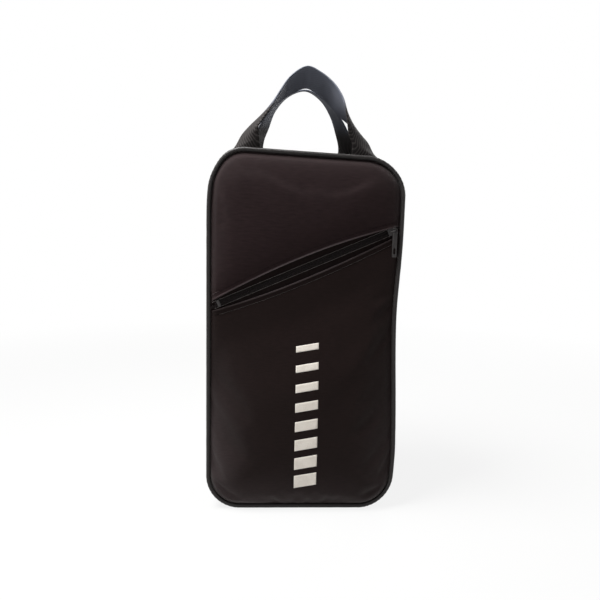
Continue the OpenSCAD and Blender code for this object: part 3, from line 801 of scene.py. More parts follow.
def stitches(line, out, pitch=stitch_pitch):
    """Patches of a row of stitches along a line of points, each lying proud and dipping in at its ends."""
    gone = gone_along(line)
    lift = thread_r * stitch_lift[:, None]
    patches = []
    for i in range(int(gone[-1] / pitch)):
        at = (i + stitch_places) * pitch
        place = np.stack([np.interp(at, gone, line[:, k]) for k in range(3)], -1)
        way = np.stack([np.interp(at, gone, out[:, k]) for k in range(3)], -1)
        patches.append(tubing(place + way * lift, thread_r, thread_sides, way[2]))
    return patches


# The topstitching ends four columns of cloth before each side seam
sewn = slice(4, -4)
forward = np.zeros_like(upper_seam[sewn]) + (0, -1, 0)
threads = stitches(upper_seam[sewn], forward) + stitches(pocket_seam[sewn], forward)
pocket_topstitch = skin("pocket_topstitch", threads, sewing_thread)
run = np.linspace(-bag_w / 2, bag_w / 2, chain_steps)
forward = np.zeros((len(run), 3)) + (0, -1, 0)
threads = []
for side in (1, -1):
    threads += stitches(zip_place(run, side * chain_at, tape_face - thread_r), forward, chain_pitch)
pocket_chain = skin("pocket_chain_stitch", threads, filament_thread, askew=False)
for piece in (pocket_topstitch, pocket_chain):
    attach(piece, "front_half")

# Stop of the pocket zip: a strip of lacquered zinc, bent into a staple. It is clamped over both coils at
# the lower end of the zip, so that the slider can't run off.
stop_run = -88 * mm
stop_l = 3 * mm
stop_t = 0.5 * mm
stop_rounding = 0.15 * mm
stop_corner = 0.6 * mm
leg_corner = 0.3 * mm


def rounded(corners, radius, steps=5):
    """Outline with each corner of a polygon turned into a curve."""
    corners = [Vector(c) for c in corners]
    outline = []
    for i, corner in enumerate(corners):
        before = (corners[i - 1] - corner).normalized() * radius
        after = (corners[(i + 1) % len(corners)] - corner).normalized() * radius
        for t in (j / steps for j in range(steps + 1)):
            outline.append(corner + before * (1 - t) ** 2 + after * t ** 2)
    return outline


def block(long, wide):
    """Corners of a rectangle round the middle."""
    return [(-long / 2, -wide / 2), (long / 2, -wide / 2), (long / 2, wide / 2), (-long / 2, wide / 2)]


def pressed(outlines, thick, rounding):
    """Mesh of a flat metal piece, cut to an outline and to the holes after it, with rounded edges."""
    curve = bpy.data.curves.new("pressed", "CURVE")
    curve.dimensions = "2D"
    curve.fill_mode = "BOTH"
    curve.extrude = thick / 2 - rounding
    curve.bevel_depth = rounding
    curve.bevel_resolution = 2
    curve.offset = -rounding
    for outline in outlines:
        line = curve.splines.new("POLY")
        line.points.add(len(outline) - 1)
        line.points.foreach_set("co", [c for point in outline for c in (point[0], point[1], 0, 1)])
        line.use_cyclic_u = True
    flat = bpy.data.objects.new("pressed", curve)
    bpy.context.scene.collection.objects.link(flat)
    mesh = bpy.data.meshes.new_from_object(flat.evaluated_get(bpy.context.evaluated_depsgraph_get()))
    bpy.data.objects.remove(flat)
    return mesh


def assembled(name, parts, material):
    """One metal piece made of meshes, each with its place."""
    shape = bmesh.new()
    for mesh, place in parts:
        mesh.transform(place)
        shape.from_mesh(mesh)
    bmesh.ops.remove_doubles(shape, verts=shape.verts, dist=1e-7)
    bmesh.ops.recalc_face_normals(shape, faces=shape.faces)
    whole = bpy.data.meshes.new(name)
    shape.to_mesh(whole)
    shape.free()
    whole.shade_smooth()
    whole.set_sharp_from_angle(angle=math.radians(40))
    whole.materials.clear()
    whole.materials.append(material)
    piece = bpy.data.objects.new(name, whole)
    bpy.context.scene.collection.objects.link(piece)
    return piece


def facing(origin, along, out):
    """Place of a flat piece: its length runs along, and its face looks out."""
    along, out = Vector(along).normalized(), Vector(out).normalized()
    return Matrix.Translation(origin) @ Matrix((along, out.cross(along), out)).transposed().to_4x4()


def pressing(outline, corner, thick, rounding, at, along, out):
    """A flat metal piece with rounded corners and edges, and its place."""
    return pressed([rounded(outline, corner)], thick, rounding), facing(at, along, out)


def staple(crown_at, along, out, crown, corner, leg, spread, drop):
    """A staple on a zip: its crown lies across the coils, and a leg goes down at each end of it."""
    parts = [pressing(block(*crown), corner, stop_t, stop_rounding, crown_at, along, out)]
    for side in (along.cross(out), out.cross(along)):
        leg_at = crown_at + side * spread - out * drop
        parts.append(pressing(block(crown[0], leg), leg_corner, stop_t, stop_rounding, leg_at, along, side))
    return parts


# Lacquered zinc: die-cast, dark and satin, with the lacquer rubbed thin on its edges
lacquered_zinc, tree = unpainted("lacquered_zinc")
place = add(tree, "TexCoord")
cast = add(tree, "TexNoise", {"Vector": place.outputs["Object"], "Scale": 1 / (0.8 * mm), "Detail": 4.0})
edge = add(tree, "NewGeometry")
paled = add(tree, "MapRange", {"Value": edge.outputs["Pointiness"], "From Min": 0.5, "From Max": 0.58})
worn = add(tree, "Math", {0: paled.outputs[0], 1: cast.outputs["Fac"]}, operation="MULTIPLY")
lacquer = add(tree, "MixRGB", {"Fac": cast.outputs["Fac"], "Color1": linear("141212"),
                               "Color2": linear("211f1e")})
zinc = add(tree, "MixRGB", {"Fac": worn.outputs[0], "Color1": lacquer.outputs[0], "Color2": linear("454140")})
satin = add(tree, "MapRange", {"Value": cast.outputs["Fac"], "To Min": 0.3, "To Max": 0.5})
bump = add(tree, "Bump", {"Height": cast.outputs["Fac"], "Strength": 0.25, "Distance": 0.05 * mm})
metal = add(tree, "BsdfPrincipled", {"Base Color": zinc.outputs[0], "Metallic": 0.2,
                                     "Roughness": satin.outputs[0], "Specular IOR Level": 0.35,
                                     "Normal": bump.outputs[0]})
add(tree, "OutputMaterial", {"Surface": metal.outputs[0]})

zip_way = Vector((math.cos(zip_angle), 0, math.sin(zip_angle)))
front_way = Vector((0, -1, 0))
zip_middle = Vector((zip_x, tape_face, zip_z))
crown_at = zip_middle + zip_way * stop_run + front_way * (tooth_t + stop_t / 2)
clamped = staple(crown_at, zip_way, front_way, (stop_l, 2 * tooth_reach), stop_corner, leg=tooth_t + stop_t,
                 spread=tooth_reach + stop_t / 4, drop=tooth_t / 2)
pocket_stop = assembled("pocket_stop_staple", clamped, lacquered_zinc)
stands_for(pocket_stop, "zip_metal", "pocket_zip_stop")
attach(pocket_stop, "front_half")

# Sliders: die-cast zinc with two plates on a wedge, side flanges that hold the coils in, and a bridge
# over which the pull tab is hooked. One closes the pocket zip and one the main zip.
plate_t = 1 * mm
plate_h = 1.9 * mm
slider_l = 9 * mm
slider_w = 8 * mm
slider_waist = 6.4 * mm
slider_corner = 0.9 * mm
slider_rounding = 0.25 * mm
nose_dent = 1 * mm
flange_l = 6.4 * mm
flange_t = 0.6 * mm
flange_h = 1.4 * mm
flange_corner = 0.4 * mm
flange_rounding = 0.15 * mm
flange_out = 0.2 * mm
flange_back = 0.8 * mm
inner_l = 5 * mm
inner_w = 6 * mm
inner_t = 0.8 * mm
inner_h = -1.7 * mm
inner_corner = 0.8 * mm
fin_l = 3 * mm
fin_w = 0.8 * mm
fin_corner = 0.3 * mm
fin_rounding = 0.1 * mm
foot_reach = 2.3 * mm
bridge_h = 5.6 * mm
bridge_r = 0.552 * mm
bridge_bend = 1.4 * mm
bridge_steps = 7
bridge_sides = 10


def slider(name, origin, along, out):
    """A slider at the face of its tape. Its wider end, where the two rows come in, looks along."""
    along, out = Vector(along).normalized(), Vector(out).normalized()
    side = out.cross(along)
    nose, tail, half, waist = slider_l / 2, -slider_l / 2, slider_w / 2, slider_waist / 2
    shield = [(tail, -waist), (0, -half), (nose, -half), (nose - nose_dent, 0), (nose, half), (0, half),
              (tail, waist)]
    fin = block(fin_l, plate_h - inner_h)
    plate_at = origin + out * (plate_h + plate_t / 2)
    inner_at = origin + out * (inner_h + inner_t / 2)
    fin_at = origin + out * (plate_h + inner_h) / 2
    parts = [pressing(shield, slider_corner, plate_t, slider_rounding, plate_at, along, out),
             pressing(block(inner_l, inner_w), inner_corner, inner_t, slider_rounding, inner_at, along, out),
             pressing(fin, fin_corner, fin_w, fin_rounding, fin_at, along, side)]
    flange = block(flange_l, flange_h)
    flange_at = plate_at - out * flange_h / 2 - along * flange_back
    for way in (-side, side):
        at = flange_at + way * (waist - flange_t / 2 + flange_out)
        parts.append(pressing(flange, flange_corner, flange_t, flange_rounding, at, along, way))
    arch = [(-foot_reach, plate_h + plate_t / 2)]
    arch += [(-foot_reach + bridge_bend * (1 - math.cos(a)), bridge_h - bridge_bend * (1 - math.sin(a)))
             for a in np.linspace(0, math.pi / 2, bridge_steps)]
    arch += [(-x, h) for x, h in arch[::-1]]
    path = np.array([origin + along * x + out * h for x, h in arch])
    rows = tubing(path, bridge_r, bridge_sides, np.array(side))[0]
    mesh = bpy.data.meshes.new("bridge")
    rings = np.arange(rows.shape[0] * bridge_sides).reshape(-1, bridge_sides)
    around = np.roll(rings, -1, axis=1)
    quads = np.stack([rings[:-1], around[:-1], around[1:], rings[1:]], -1).reshape(-1, 4)
    ends = [rings[0, ::-1].tolist(), rings[-1].tolist()]
    mesh.from_pydata(rows.reshape(-1, 3).tolist(), [], quads.tolist() + ends)
    parts.append((mesh, Matrix.Identity(4)))
    return assembled(name, parts, lacquered_zinc)


slider_run = 94 * mm
slider_at = zip_middle + zip_way * slider_run
pocket_slider = slider("pocket_slider_body", slider_at, zip_way, front_way)
stands_for(pocket_slider, "zip_metal", "pocket_slider")
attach(pocket_slider, "pocket_slider")
main_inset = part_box("main_zip_tape_rear")[0].x + bag_w / 2
main_slider_z = 66 * mm
main_slider_at = Vector((main_inset - bag_w / 2, 0, main_slider_z))
upward_way = Vector((0, 0, 1))
left_way = Vector((-1, 0, 0))
main_slider = slider("main_slider_body", main_slider_at, upward_way, left_way)
stands_for(main_slider, "zip_metal", "main_slider")
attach(main_slider, "main_slider")

# Pull tabs: stamped zinc strips with a window at the head and a slot near the foot. The window hooks over
# the bridge of a slider, and the tab hangs loose from it.
pull_w = 4.5 * mm
pull_l = 28 * mm
pull_t = 1 * mm
pull_h = 3.8 * mm
pull_head = 0.8 * mm
window_w = 3.2 * mm
window_h = 4 * mm
pull_slot_w = 2 * mm
pull_slot_l = 6 * mm
pull_slot_rise = 3 * mm
pull_rounding = 0.25 * mm
pull_corner = 1.2 * mm
window_corner = 0.8 * mm
slot_corner = 0.9 * mm
pocket_pull_head = 1.2 * mm


def opening(wide, low, high, corner):
    """Outline of a rounded hole in the middle of a tab."""
    half = wide / 2
    return rounded([(-half, low), (-half, high), (half, high), (half, low)], corner)


def pull_tab(name, origin, out, head_z):
    """A tab that hangs straight down in front of its slider, with its crossbar at the height head_z."""
    half = pull_w / 2
    top = head_z + pull_head
    foot = top - pull_l
    strip = rounded([(-half, foot), (half, foot), (half, top), (-half, top)], pull_corner)
    window = opening(window_w, head_z - window_h, head_z, window_corner)
    slot_foot = foot + pull_slot_rise
    slot = opening(pull_slot_w, slot_foot, slot_foot + pull_slot_l, slot_corner)
    flat = pressed([strip, window, slot], pull_t, pull_rounding)
    across = Vector((0, 0, 1)).cross(out)
    return assembled(name, [(flat, facing(origin + out * pull_h, across, out))], lacquered_zinc)


pocket_pull = pull_tab("pocket_pull_tab", slider_at + zip_way * foot_reach, front_way, pocket_pull_head)
stands_for(pocket_pull, "zip_metal", "pocket_pull")
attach(pocket_pull, "pocket_pull")
main_pull = pull_tab("main_pull_tab", main_slider_at - upward_way * foot_reach, left_way,
                     foot_reach - pull_head / 2)
stands_for(main_pull, "zip_metal", "main_pull")
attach(main_pull, "main_pull")

# Piping: a cord in a bias-cut cover, sewn between each panel and the gusset. Its cover gathers a little
# where it turns the corners, and its two ends meet under the base.
base_run = bag_w / 2 - corner_base
side_run = bag_h - corner_base - corner_top
top_run = bag_w - 2 * corner_top
# The outline from the middle of the base, up the left: each part is a straight run or the radius of a corner
rim_parts = [(base_run, 0), (0, corner_base), (side_run, 0), (0, corner_top), (top_run, 0),
             (0, corner_top), (side_run, 0), (0, corner_base), (base_run, 0)]
rim_long = sum(straight + radius * math.pi / 2 for straight, radius in rim_parts)
gather_pitch = 4.6 * mm
gather_depth = 0.12 * mm
gather_stray = 3
# The gathers begin this far before a corner and reach their depth this far inside it
gather_lead = 4 * mm
gather_full = 8 * mm
cover_uneven = 0.08 * mm
cover_wave = 9 * mm
piping_step = 1.5 * mm
piping_sides = 14
piping_gap = 0.02 * mm
# Side of the bag's middle plane, and the half of the bag that lies there
halves = ((1, "rear"), (-1, "front"))


def rim(run, inset, y):
    """Points inside the bag's outline, at distances along it from the middle of the base and up the left."""
    run, inset, y = np.broadcast_arrays(run, inset, y)
    left = run % rim_long
    x, z = np.zeros(run.shape), np.zeros(run.shape)
    heading = np.full(run.shape, math.pi)
    for straight, radius in rim_parts:
        step = np.clip(left, 0, straight + radius * math.pi / 2)
        left = left - step
        turned = heading - (step / radius if radius else 0)
        x += radius * (np.sin(heading) - np.sin(turned)) if radius else step * np.cos(heading)
        z += radius * (np.cos(turned) - np.cos(heading)) if radius else step * np.sin(heading)
        heading = turned
    return np.stack([x + inset * np.sin(heading), y, z - inset * np.cos(heading)], -1)


def rim_out(run):
    """The way out of the bag at distances along its outline."""
    return rim(run, np.full_like(run, -1.0), 0.0) - rim(run, np.zeros_like(run), 0.0)


def turning(run):
    """1 on the round corners of the outline and 0 on its straight runs."""
    at = run % rim_long
    start, bent = 0.0, np.zeros(np.shape(run))
    for straight, radius in rim_parts:
        end = start + straight + radius * math.pi / 2
        if radius:
            after = ramp(at - start, -gather_lead, gather_full)
            before = ramp(end - at, -gather_lead, gather_full)
            bent = bent + after * before
        start = end
    return bent


def moves_with(piece, half):
    """A piece of the rear half goes with the rear half's body, and one of the front half has its place baked
    into its mesh.
    """
    if half == "rear":
        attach(piece, "rear_half")
    else:
        bends_open(piece)


# Bias-cut cover: the panel's cloth turned on the slant, so its threads run across the cord
bias_cover = woven("bias_cut_cover", "110f0f", "24201f", thread=0.9 * mm, relief=0.12 * mm, rough=0.38,
                   gloss=0.22, sheen=0.15, turn=45)
run = np.linspace(piping_gap, rim_long - piping_gap, round(rim_long / piping_step))
uneven = ripples(run, np.zeros_like(run), cover_wave, 11.0)
gathered = turning(run) * np.sin(2 * math.pi * run / gather_pitch + gather_stray * uneven)
thick = piping_r + gather_depth * gathered + cover_uneven * uneven
piping_nodes = {"rear": ["rear_piping"], "front": ["front_piping", "front_piping_base"]}
for side, half in halves:
    path = rim(run, piping_r, side * seam_y)
    tube = tubing(path, thick, piping_sides, np.array([0.0, 1.0, 0.0]))
    cover = skin(half + "_piping_cover", [tube], bias_cover)
    stands_for(cover, "piping_cloth", *piping_nodes[half])
    moves_with(cover, half)

# Gussets: strips of the panel cloth with a thin lining. Two run over the top and down both sides, one on
# each side of the zip, with a folded hem beside it. The bottom one closes the base up to the zip's ends.
gusset_edge = 48.3 * mm
gusset_in = 1.4 * mm
hem_y = 7 * mm
hem_r = 0.4 * mm
hem_back = 5 * mm
gusset_bulge = 0.8 * mm
gusset_soft = 0.3 * mm
gusset_wave = 26 * mm
gusset_step = 3.6 * mm
# The cloth dips over these widths where it goes into a long seam and into the seam at the zip's end
seam_dip = 1.2 * mm
dip_w = 2.2 * mm
dip_past = 0.7 * mm
end_dip_w = 2.5 * mm
# Widths of cloth that the hem, the long seam and the seam at the zip's end hold down
hem_held = 3.5 * mm
edge_held = 1.5 * mm
end_held = 3 * mm
# The zip ends just above the crease, at this distance along the outline
zip_above = 0.2 * mm
zip_end = base_run + corner_base * math.pi / 2 + crease.z + zip_above - corner_base


def across_gusset(first):
    """Places across a gusset out to its seam, closer together at its two edges."""
    share = np.linspace(0, 1, round((gusset_edge - first) / gusset_step) + 1)
    return first + (gusset_edge - first) * (share - 0.1 * np.sin(2 * math.pi * share))


def edge_dip(y):
    """How far the cloth dips where it goes into the seam beside the piping."""
    return seam_dip * (1 - ramp(gusset_edge + dip_past - np.abs(y), 0, dip_w))


def gusset_inset(y, run, first):
    """How far the gusset's cloth lies inside the outline: it bulges between its edges and dips at a seam."""
    share = np.clip((np.abs(y) - first) / (gusset_edge - first), 0, 1)
    bulge = gusset_bulge * np.sin(math.pi * share) ** 0.8
    soft = gusset_soft * ripples(run, y, gusset_wave, 17.0) * np.sin(math.pi * share)
    return gusset_in - bulge + edge_dip(y) - soft


gusset_long = rim_long - 2 * zip_end
gusset_runs = np.linspace(zip_end, rim_long - zip_end, round(gusset_long / gusset_step) + 1)
gusset_stitches = {}
for side, half in halves:
    y, run = np.meshgrid(across_gusset(hem_y), gusset_runs, indexing="ij")
    ends = np.minimum(run - zip_end, rim_long - zip_end - run)
    inset = gusset_inset(y, run, hem_y) + seam_dip * (1 - ramp(ends, 0, end_dip_w))
    rows = rim(run, inset, side * y)
    flat = np.stack([side * y, run], -1)
    order = slice(None, None, side)
    held = (y < hem_y + hem_held) | (y > gusset_edge - edge_held) | (ends < end_held)
    rows = settle(rows[order], held[order], slack=0.008, air=0.6, cap=1.2 * mm)[order]
    gusset_stitches[half] = rows[1]
    hem = []
    for angle in (45, 90, 135, 180):
        turn = math.radians(angle)
        hem_in = inset[0] + hem_r * (1 - math.cos(turn))
        hem.append(rim(run[0], hem_in, side * (hem_y - hem_r * math.sin(turn))))
    hem.append(rim(run[0], inset[0] + 2 * hem_r, side * (hem_y + hem_back)))
    hem = np.stack(hem[::-1])
    hem_flat = flat[:1] - np.array([side * hem_r, 0]) * np.arange(len(hem), 0, -1)[:, None, None]
    patch = np.concatenate([hem, rows])[order], np.concatenate([hem_flat, flat])[order], False
    strip = skin(half + "_gusset_cloth", [patch], panel_cloth, cloth_t, smooth=1)
    stands_for(strip, "panel_cloth", half + "_gusset")
    moves_with(strip, half)

# The bottom gusset lies flat on the ground, and bulges more and more as it turns up the sides
sole_lift = 0.3 * mm
sole_turn = 25 * mm
base_end = zip_end - 0.4 * mm
base_runs = np.linspace(-base_end, base_end, round(2 * base_end / gusset_step) + 1)
half_across = across_gusset(0.0)
y, run = np.meshgrid(np.concatenate([-half_across[:0:-1], half_across]), base_runs, indexing="ij")
upright_inset = gusset_inset(y, run, 0.0) + 0.5 * gusset_bulge
on_side = ramp(np.abs(run), base_run, base_run + sole_turn)
sole = sole_lift + edge_dip(y)
inset = sole + (upright_inset - sole) * on_side
inset = inset + seam_dip * (1 - ramp(base_end - np.abs(run), 0, end_dip_w))
rows = rim(run, inset, y)
flat = np.stack([y, run], -1)
bottom = skin("bottom_gusset_cloth", [(rows, flat, False)], panel_cloth, cloth_t, smooth=1)
stands_for(bottom, "panel_cloth", "bottom_gusset")
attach(bottom, "rear_half")

# Main zip: a larger nylon coil zip round the gusset. Each tape is sewn under one gusset's hem, and the
# rows part when the front is opened.
main_pitch = 1.5 * mm
main_stop_head = 5 * mm
main_tape_rows = 8
main_tape_columns = 260
nudge = 1 * mm
tape_runs = np.linspace(zip_end, rim_long - zip_end, main_tape_columns)
for side, half in halves:
    y, run = np.meshgrid(np.linspace(tape_gap, tape_reach, main_tape_rows), tape_runs, indexing="ij")
    order = slice(None, None, side)
    rows = rim(run, main_inset, side * y)[order]
    tape = skin("main_tape_" + half, [(rows, np.stack([y, run], -1)[order], False)], tape_knit, tape_t)
    stands_for(tape, "tape_cloth", "main_zip_tape_" + half)
    first = zip_end + main_stop_head
    gone, across, out = coil_turns(rim_long - 2 * first, main_pitch, side)
    at = first + gone
    path = rim(at, main_inset - out, across)
    way = rim(at + nudge, main_inset, 0.0) - rim(at - nudge, main_inset, 0.0)
    teeth = skin("main_coil_" + half, [tubing(path, wire_r, coil_sides, way)], nylon_wire)
    stands_for(teeth, "zip_plastic", "main_zip_teeth_" + half)
    threads = stitches(gusset_stitches[half], rim_out(gusset_runs))
    hem_stitch = skin("main_topstitch_" + half, threads, sewing_thread)
    for piece in (tape, teeth, hem_stitch):
        moves_with(piece, half)

# Stops of the main zip: a staple of lacquered zinc at each end of the coils. Both are clamped onto the rear
# tape and keep the slider on the zip.
stop_low, stop_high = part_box("main_zip_stops")
stop_x = bag_w / 2 - main_inset + tooth_t - stop_t / 2
stop_y = (stop_low.y + stop_high.y) / 2
stop_z = (stop_low.z + stop_high.z) / 2
main_crown = stop_high.z - stop_low.z, stop_high.y - stop_low.y
main_stop_corner = 0.5 * mm
clamped = []
for side in (-1, 1):
    crown_at = Vector((side * stop_x, stop_y, stop_z))
    clamped += staple(crown_at, upward_way, Vector((side, 0, 0)), main_crown, main_stop_corner, leg=tooth_t,
                      spread=(main_crown[1] - stop_t) / 2, drop=(tooth_t - stop_t) / 2)
main_stops = assembled("main_stop_staples", clamped, lacquered_zinc)
stands_for(main_stops, "zip_metal", "main_zip_stops")
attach(main_stops, "rear_half")

# Zip end tabs: a patch of the panel cloth below each end of the main zip, with its edges folded under. It
# strengthens the end of the opening and is sewn down on the bottom gusset, all round.
tab_low, tab_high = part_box("zip_end_tabs")
tab_half = tab_high.y
tab_in = 0.45 * mm
# The folded edge of a tab goes down over this width, and the stitches pull a groove beside it
tab_edge = 0.9 * mm
tab_edge_w = 1.4 * mm
tab_seam = 2.2 * mm
tab_groove = 0.25 * mm
tab_groove_w = 1 * mm
thread_sunk = 0.1 * mm
tab_columns = 21
tab_rows = 13
tab_seam_steps = 9
tab_start = base_end - (tab_high.z - tab_low.z)
tab_across = np.linspace(-tab_half, tab_half, tab_columns)
tab_runs = np.linspace(tab_start, base_end, tab_rows)
seam_half = tab_half - tab_seam
seam_low, seam_high = tab_start + tab_seam, base_end - tab_seam
seam_corners = [(-seam_half, seam_low), (seam_half, seam_low), (seam_half, seam_high),
                (-seam_half, seam_high), (-seam_half, seam_low)]
seam_sides = zip(seam_corners, seam_corners[1:])
edge_y, edge_run = np.concatenate([np.linspace(a, b, tab_seam_steps)[:-1] for a, b in seam_sides]).T
y, run = np.meshgrid(tab_across, tab_runs, indexing="ij")
margin = np.minimum(tab_half - np.abs(y), np.minimum(run - tab_start, base_end - run))
sunk = tab_in + tab_edge * (1 - ramp(margin, 0, tab_edge_w))
sunk = sunk + tab_groove * np.exp(-((margin - tab_seam) / tab_groove_w) ** 2)
tabs, tab_threads = [], []
for side in (-1, 1):
    rows = rim(-side * run, sunk, y)
    order = slice(None, None, -side)
    tabs.append((rows[order], np.stack([y, run], -1)[order], False))
    line = rim(-side * edge_run, tab_in + thread_sunk, edge_y)
    tab_threads += stitches(line, rim_out(-side * edge_run))
end_tabs = skin("zip_end_tab_cloth", tabs, panel_cloth, cloth_t)
stands_for(end_tabs, "panel_cloth", "zip_end_tabs")
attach(end_tabs, "rear_half")
tab_stitch = skin("zip_end_tab_stitch", tab_threads, sewing_thread)
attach(tab_stitch, "rear_half")

# Seam bindings: a soft knitted tape, folded over the raw edges of each seam inside the bag. It is sewn on
# all round, through the edges that it covers.
binding_low, binding_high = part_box("rear_seam_binding")
binding_in = binding_low.z
binding_t = 2 * mm
binding_w = binding_high.y - binding_low.y
binding_y = (binding_low.y + binding_high.y) / 2
binding_rings = 300
binding_sides = 14
binding_soft = 0.2 * mm
binding_wave = 12 * mm
binding_nodes = {"rear": ["rear_seam_binding"], "front": ["front_seam_binding", "front_binding_base"]}
run = np.linspace(piping_gap, rim_long - piping_gap, binding_rings)
# Section of the tape: an oval with flattened sides
turn = np.linspace(0, 2 * math.pi, binding_sides, endpoint=False)
oval_y = binding_w / 2 * np.sign(np.cos(turn)) * np.abs(np.cos(turn)) ** 0.6
oval_in = binding_t / 2 * np.sign(np.sin(turn)) * np.abs(np.sin(turn)) ** 0.7
around = np.linspace(0, 2 * (binding_w + binding_t), binding_sides + 1)
flat = np.stack(np.meshgrid(around, run), -1)
for side, half in halves:
    soft = binding_soft * ripples(run, np.zeros_like(run), binding_wave, 23.0 + side)[:, None]
    rows = rim(run[:, None], binding_in + binding_t / 2 + oval_in + soft, side * (binding_y + oval_y))
    rows = rows[:, ::-side]
    binding = skin(half + "_binding_tape", [(rows, flat, True)], tape_knit)
    stands_for(binding, "tape_cloth", *binding_nodes[half])
    moves_with(binding, half)

# Handles: two arches of twill webbing. Each end is sewn flat into a seam behind the piping, and the strap
# turns on edge as it rises, so that the crown lies flat in the hand.
webbing_w = 31 * mm
webbing_t = 1.6 * mm
route_steps = 12
handle_y = 46.5 * mm
handle_z = 358 * mm
# Depths of the sewn ends below the seam, in millimetres like the stations
tails = [20, 15, 10, 5]
# Stations from left to right: sideways place, height above the seam, and turn of the webbing in degrees
front_route = [
    (-58, 0, 10), (-56.5, 8, 39), (-51.5, 18, 50), (-42.5, 31, 55), (-30, 48, 70), (-16.5, 64, 82),
    (0, 75, 88), (13, 70, 87), (24.3, 60, 86), (32, 49, 89), (39, 39, 103), (44.5, 29, 119),
    (49, 18, 134), (52, 8, 151), (57, 0, 172)]
rear_route = [
    (-56, 0, 8), (-53, 8, 52), (-48.5, 20, 71), (-43.5, 33, 70), (-34, 51, 78), (-18, 66, 86),
    (2, 73, 90), (20, 65, 94), (34, 50, 104), (43, 33, 113), (49, 19, 122), (51, 8, 138), (53, 0, 172)]
# Side of the bag, lean towards its middle and tilt of the webbing at the crown in degrees, and stations
handles = {"front": (-1, 22, 25, front_route), "rear": (1, 20, 15, rear_route)}


def through(stations):
    """Smooth curve through the given stations."""
    k = np.array(stations, float)
    k = np.concatenate([2 * k[:1] - k[1:2], k, 2 * k[-1:] - k[-2:-1]])
    a, b, c, d = k[:-3], k[1:-2], k[2:-1], k[3:]
    t = (np.arange(route_steps) / route_steps)[:, None, None]
    points = b + t / 2 * ((c - a) + t * ((2 * a - 5 * b + 4 * c - d) + t * (3 * b - a - 3 * c + d)))
    return np.concatenate([points.transpose(1, 0, 2).reshape(-1, k.shape[1]), k[-2:-1]])


# Twill webbing: steep slanted ribs of polyester thread, which turn the other way past the middle of the
# strap. The middle, where it is held, is pressed smooth, and its lighter, bluish grey is painted light,
# the cool light on the crown. The ribs are drawn at the real pitch and the threads in them at twice theirs
rib_pitch = 2.2 * mm
rib_slope = math.radians(62)
twist_pitch = 1.2 * mm
grip_half = 50 * mm
grip_end = 68 * mm
webbing, tree = unpainted("twill_webbing")
cut = add(tree, "UVMap", uv_map="cut")
loose_thread = add(tree, "TexNoise", {"Vector": cut.outputs[0], "Scale": 1 / (6 * mm), "Detail": 4.0})
along = add(tree, "SeparateXYZ", {"Vector": cut.outputs[0]})
far = add(tree, "Math", {0: along.outputs["Y"]}, operation="ABSOLUTE")
turned = add(tree, "CombineXYZ", {"X": along.outputs["X"], "Y": far.outputs[0]})
wander = add(tree, "Mapping", {"Vector": turned.outputs[0], "Rotation": (0, 0, math.pi / 2 - rib_slope)})
ribs = add(tree, "TexWave", {"Vector": wander.outputs[0], "Scale": math.pi / 10 / rib_pitch,
                             "Distortion": 0.6, "Detail Scale": 1.5}, bands_direction="X")
twist = add(tree, "TexWave", {"Vector": wander.outputs[0], "Scale": math.pi / 10 / twist_pitch,
                              "Distortion": 0.8}, bands_direction="Y")
crest = add(tree, "MapRange", {"Value": ribs.outputs["Fac"], "From Min": 0.45, "From Max": 0.95},
            interpolation_type="SMOOTHSTEP")
weave = add(tree, "MixRGB", {"Fac": 0.15, "Color1": crest.outputs[0], "Color2": twist.outputs["Color"]})
uneven = add(tree, "MixRGB", {"Fac": 0.15, "Color1": weave.outputs[0], "Color2": loose_thread.outputs["Fac"]})
ribbed = add(tree, "MapRange", {"Value": far.outputs[0], "From Min": grip_half, "From Max": grip_end,
                                "To Min": 0.0, "To Max": 1.0}, interpolation_type="SMOOTHSTEP")
ribbed_tone = add(tree, "MixRGB", {"Fac": uneven.outputs[0], "Color1": linear("1d1b1b"),
                                   "Color2": linear("3c3938")})
# Painted light: the grip is lighter and bluish for the cool light that falls on the crown
grip_painted_light = add(tree, "MixRGB", {"Fac": uneven.outputs[0], "Color1": linear("5f626b"),
                                   "Color2": linear("666973")})
tone = add(tree, "MixRGB", {"Fac": ribbed.outputs[0], "Color1": grip_painted_light.outputs[0],
                            "Color2": ribbed_tone.outputs[0]})
relief = add(tree, "Math", {0: ribbed.outputs[0], 1: 0.4}, operation="MULTIPLY")
bump = add(tree, "Bump", {"Height": ribs.outputs["Fac"], "Strength": relief.outputs[0], "Distance": 0.2 * mm})
dull = add(tree, "MapRange", {"Value": loose_thread.outputs["Fac"], "To Min": 0.5, "To Max": 0.7})
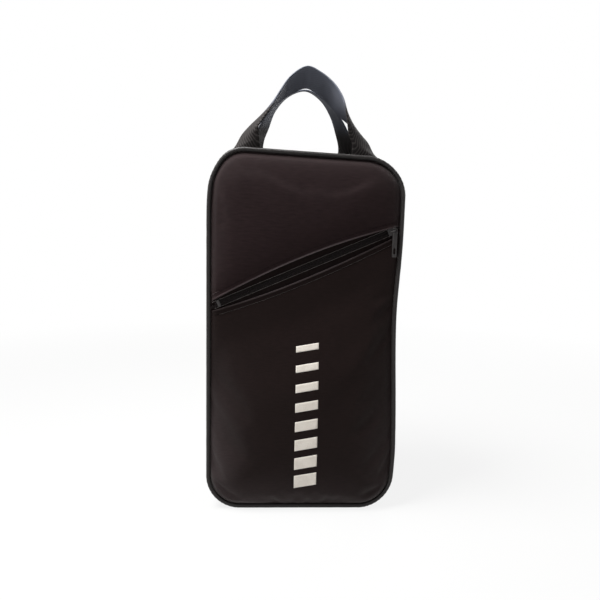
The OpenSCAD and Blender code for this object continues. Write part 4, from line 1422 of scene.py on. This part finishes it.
thread = add(tree, "BsdfPrincipled", {
    "Base Color": tone.outputs[0], "Roughness": dull.outputs[0], "Normal": bump.outputs[0],
    "Specular IOR Level": 0.02, "Sheen Weight": 0.02, "Sheen Roughness": 0.5, "Sheen Tint": linear("b8b2ae")})
add(tree, "OutputMaterial", {"Surface": thread.outputs[0]})

# Each end is sewn in on a slant, with the outer edge lower, and straightens over this height
end_slant = math.radians(25)
slant_reach = 20
# Section of the webbing: two flat faces between two round edges
edge_points = 6
face_points = 12
edge_turn = np.linspace(-math.pi / 2, math.pi / 2, edge_points)
face = np.linspace(-1, 1, face_points)[1:-1]
flat_half = webbing_w / 2 - webbing_t / 2
loop_w = np.concatenate([flat_half + webbing_t / 2 * np.cos(edge_turn), -flat_half * face,
                         -flat_half - webbing_t / 2 * np.cos(edge_turn), flat_half * face])
loop_t = np.concatenate([webbing_t / 2 * np.sin(edge_turn), np.full(len(face), webbing_t / 2),
                         -webbing_t / 2 * np.sin(edge_turn), np.full(len(face), -webbing_t / 2)])
for half, (side, lean, tilt, route) in handles.items():
    curve = through(route)
    first = np.array([(route[0][0], -d, 0) for d in tails])
    last = np.array([(route[-1][0], -d, 180) for d in tails[::-1]])
    x, height, turn = np.concatenate([first, curve, last]).T
    turn = np.radians(turn)
    lean, tilt = math.radians(lean), math.radians(tilt)
    back = np.maximum(height, 0) * math.tan(lean)
    centre = np.stack([x * mm, side * (handle_y - back * mm), handle_z + height * mm], -1)
    across = np.stack([np.cos(turn), side * np.sin(turn) * math.cos(tilt), np.sin(turn) * math.sin(tilt)], -1)
    across[:, 2] += math.sin(end_slant) * (1 - ramp(height, 0, slant_reach))
    across = unit(across)
    out = unit(np.cross(np.gradient(centre, axis=0), across))
    rows = centre[:, None] + across[:, None] * loop_w[:, None] + out[:, None] * loop_t[:, None]
    gone = gone_along(centre)
    gone -= gone[-1] / 2
    around = np.concatenate([loop_w, loop_w[:1]])[::-1]
    patch = rows[:, ::-1], np.stack(np.meshgrid(around, gone), -1), True
    strap = skin(half + "_handle_webbing", [patch], webbing, smooth=1)
    stands_for(strap, "webbing", half + "_handle", half + "_handle_ends")
    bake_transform(strap)

# Bounds of the dressed bag
low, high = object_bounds()
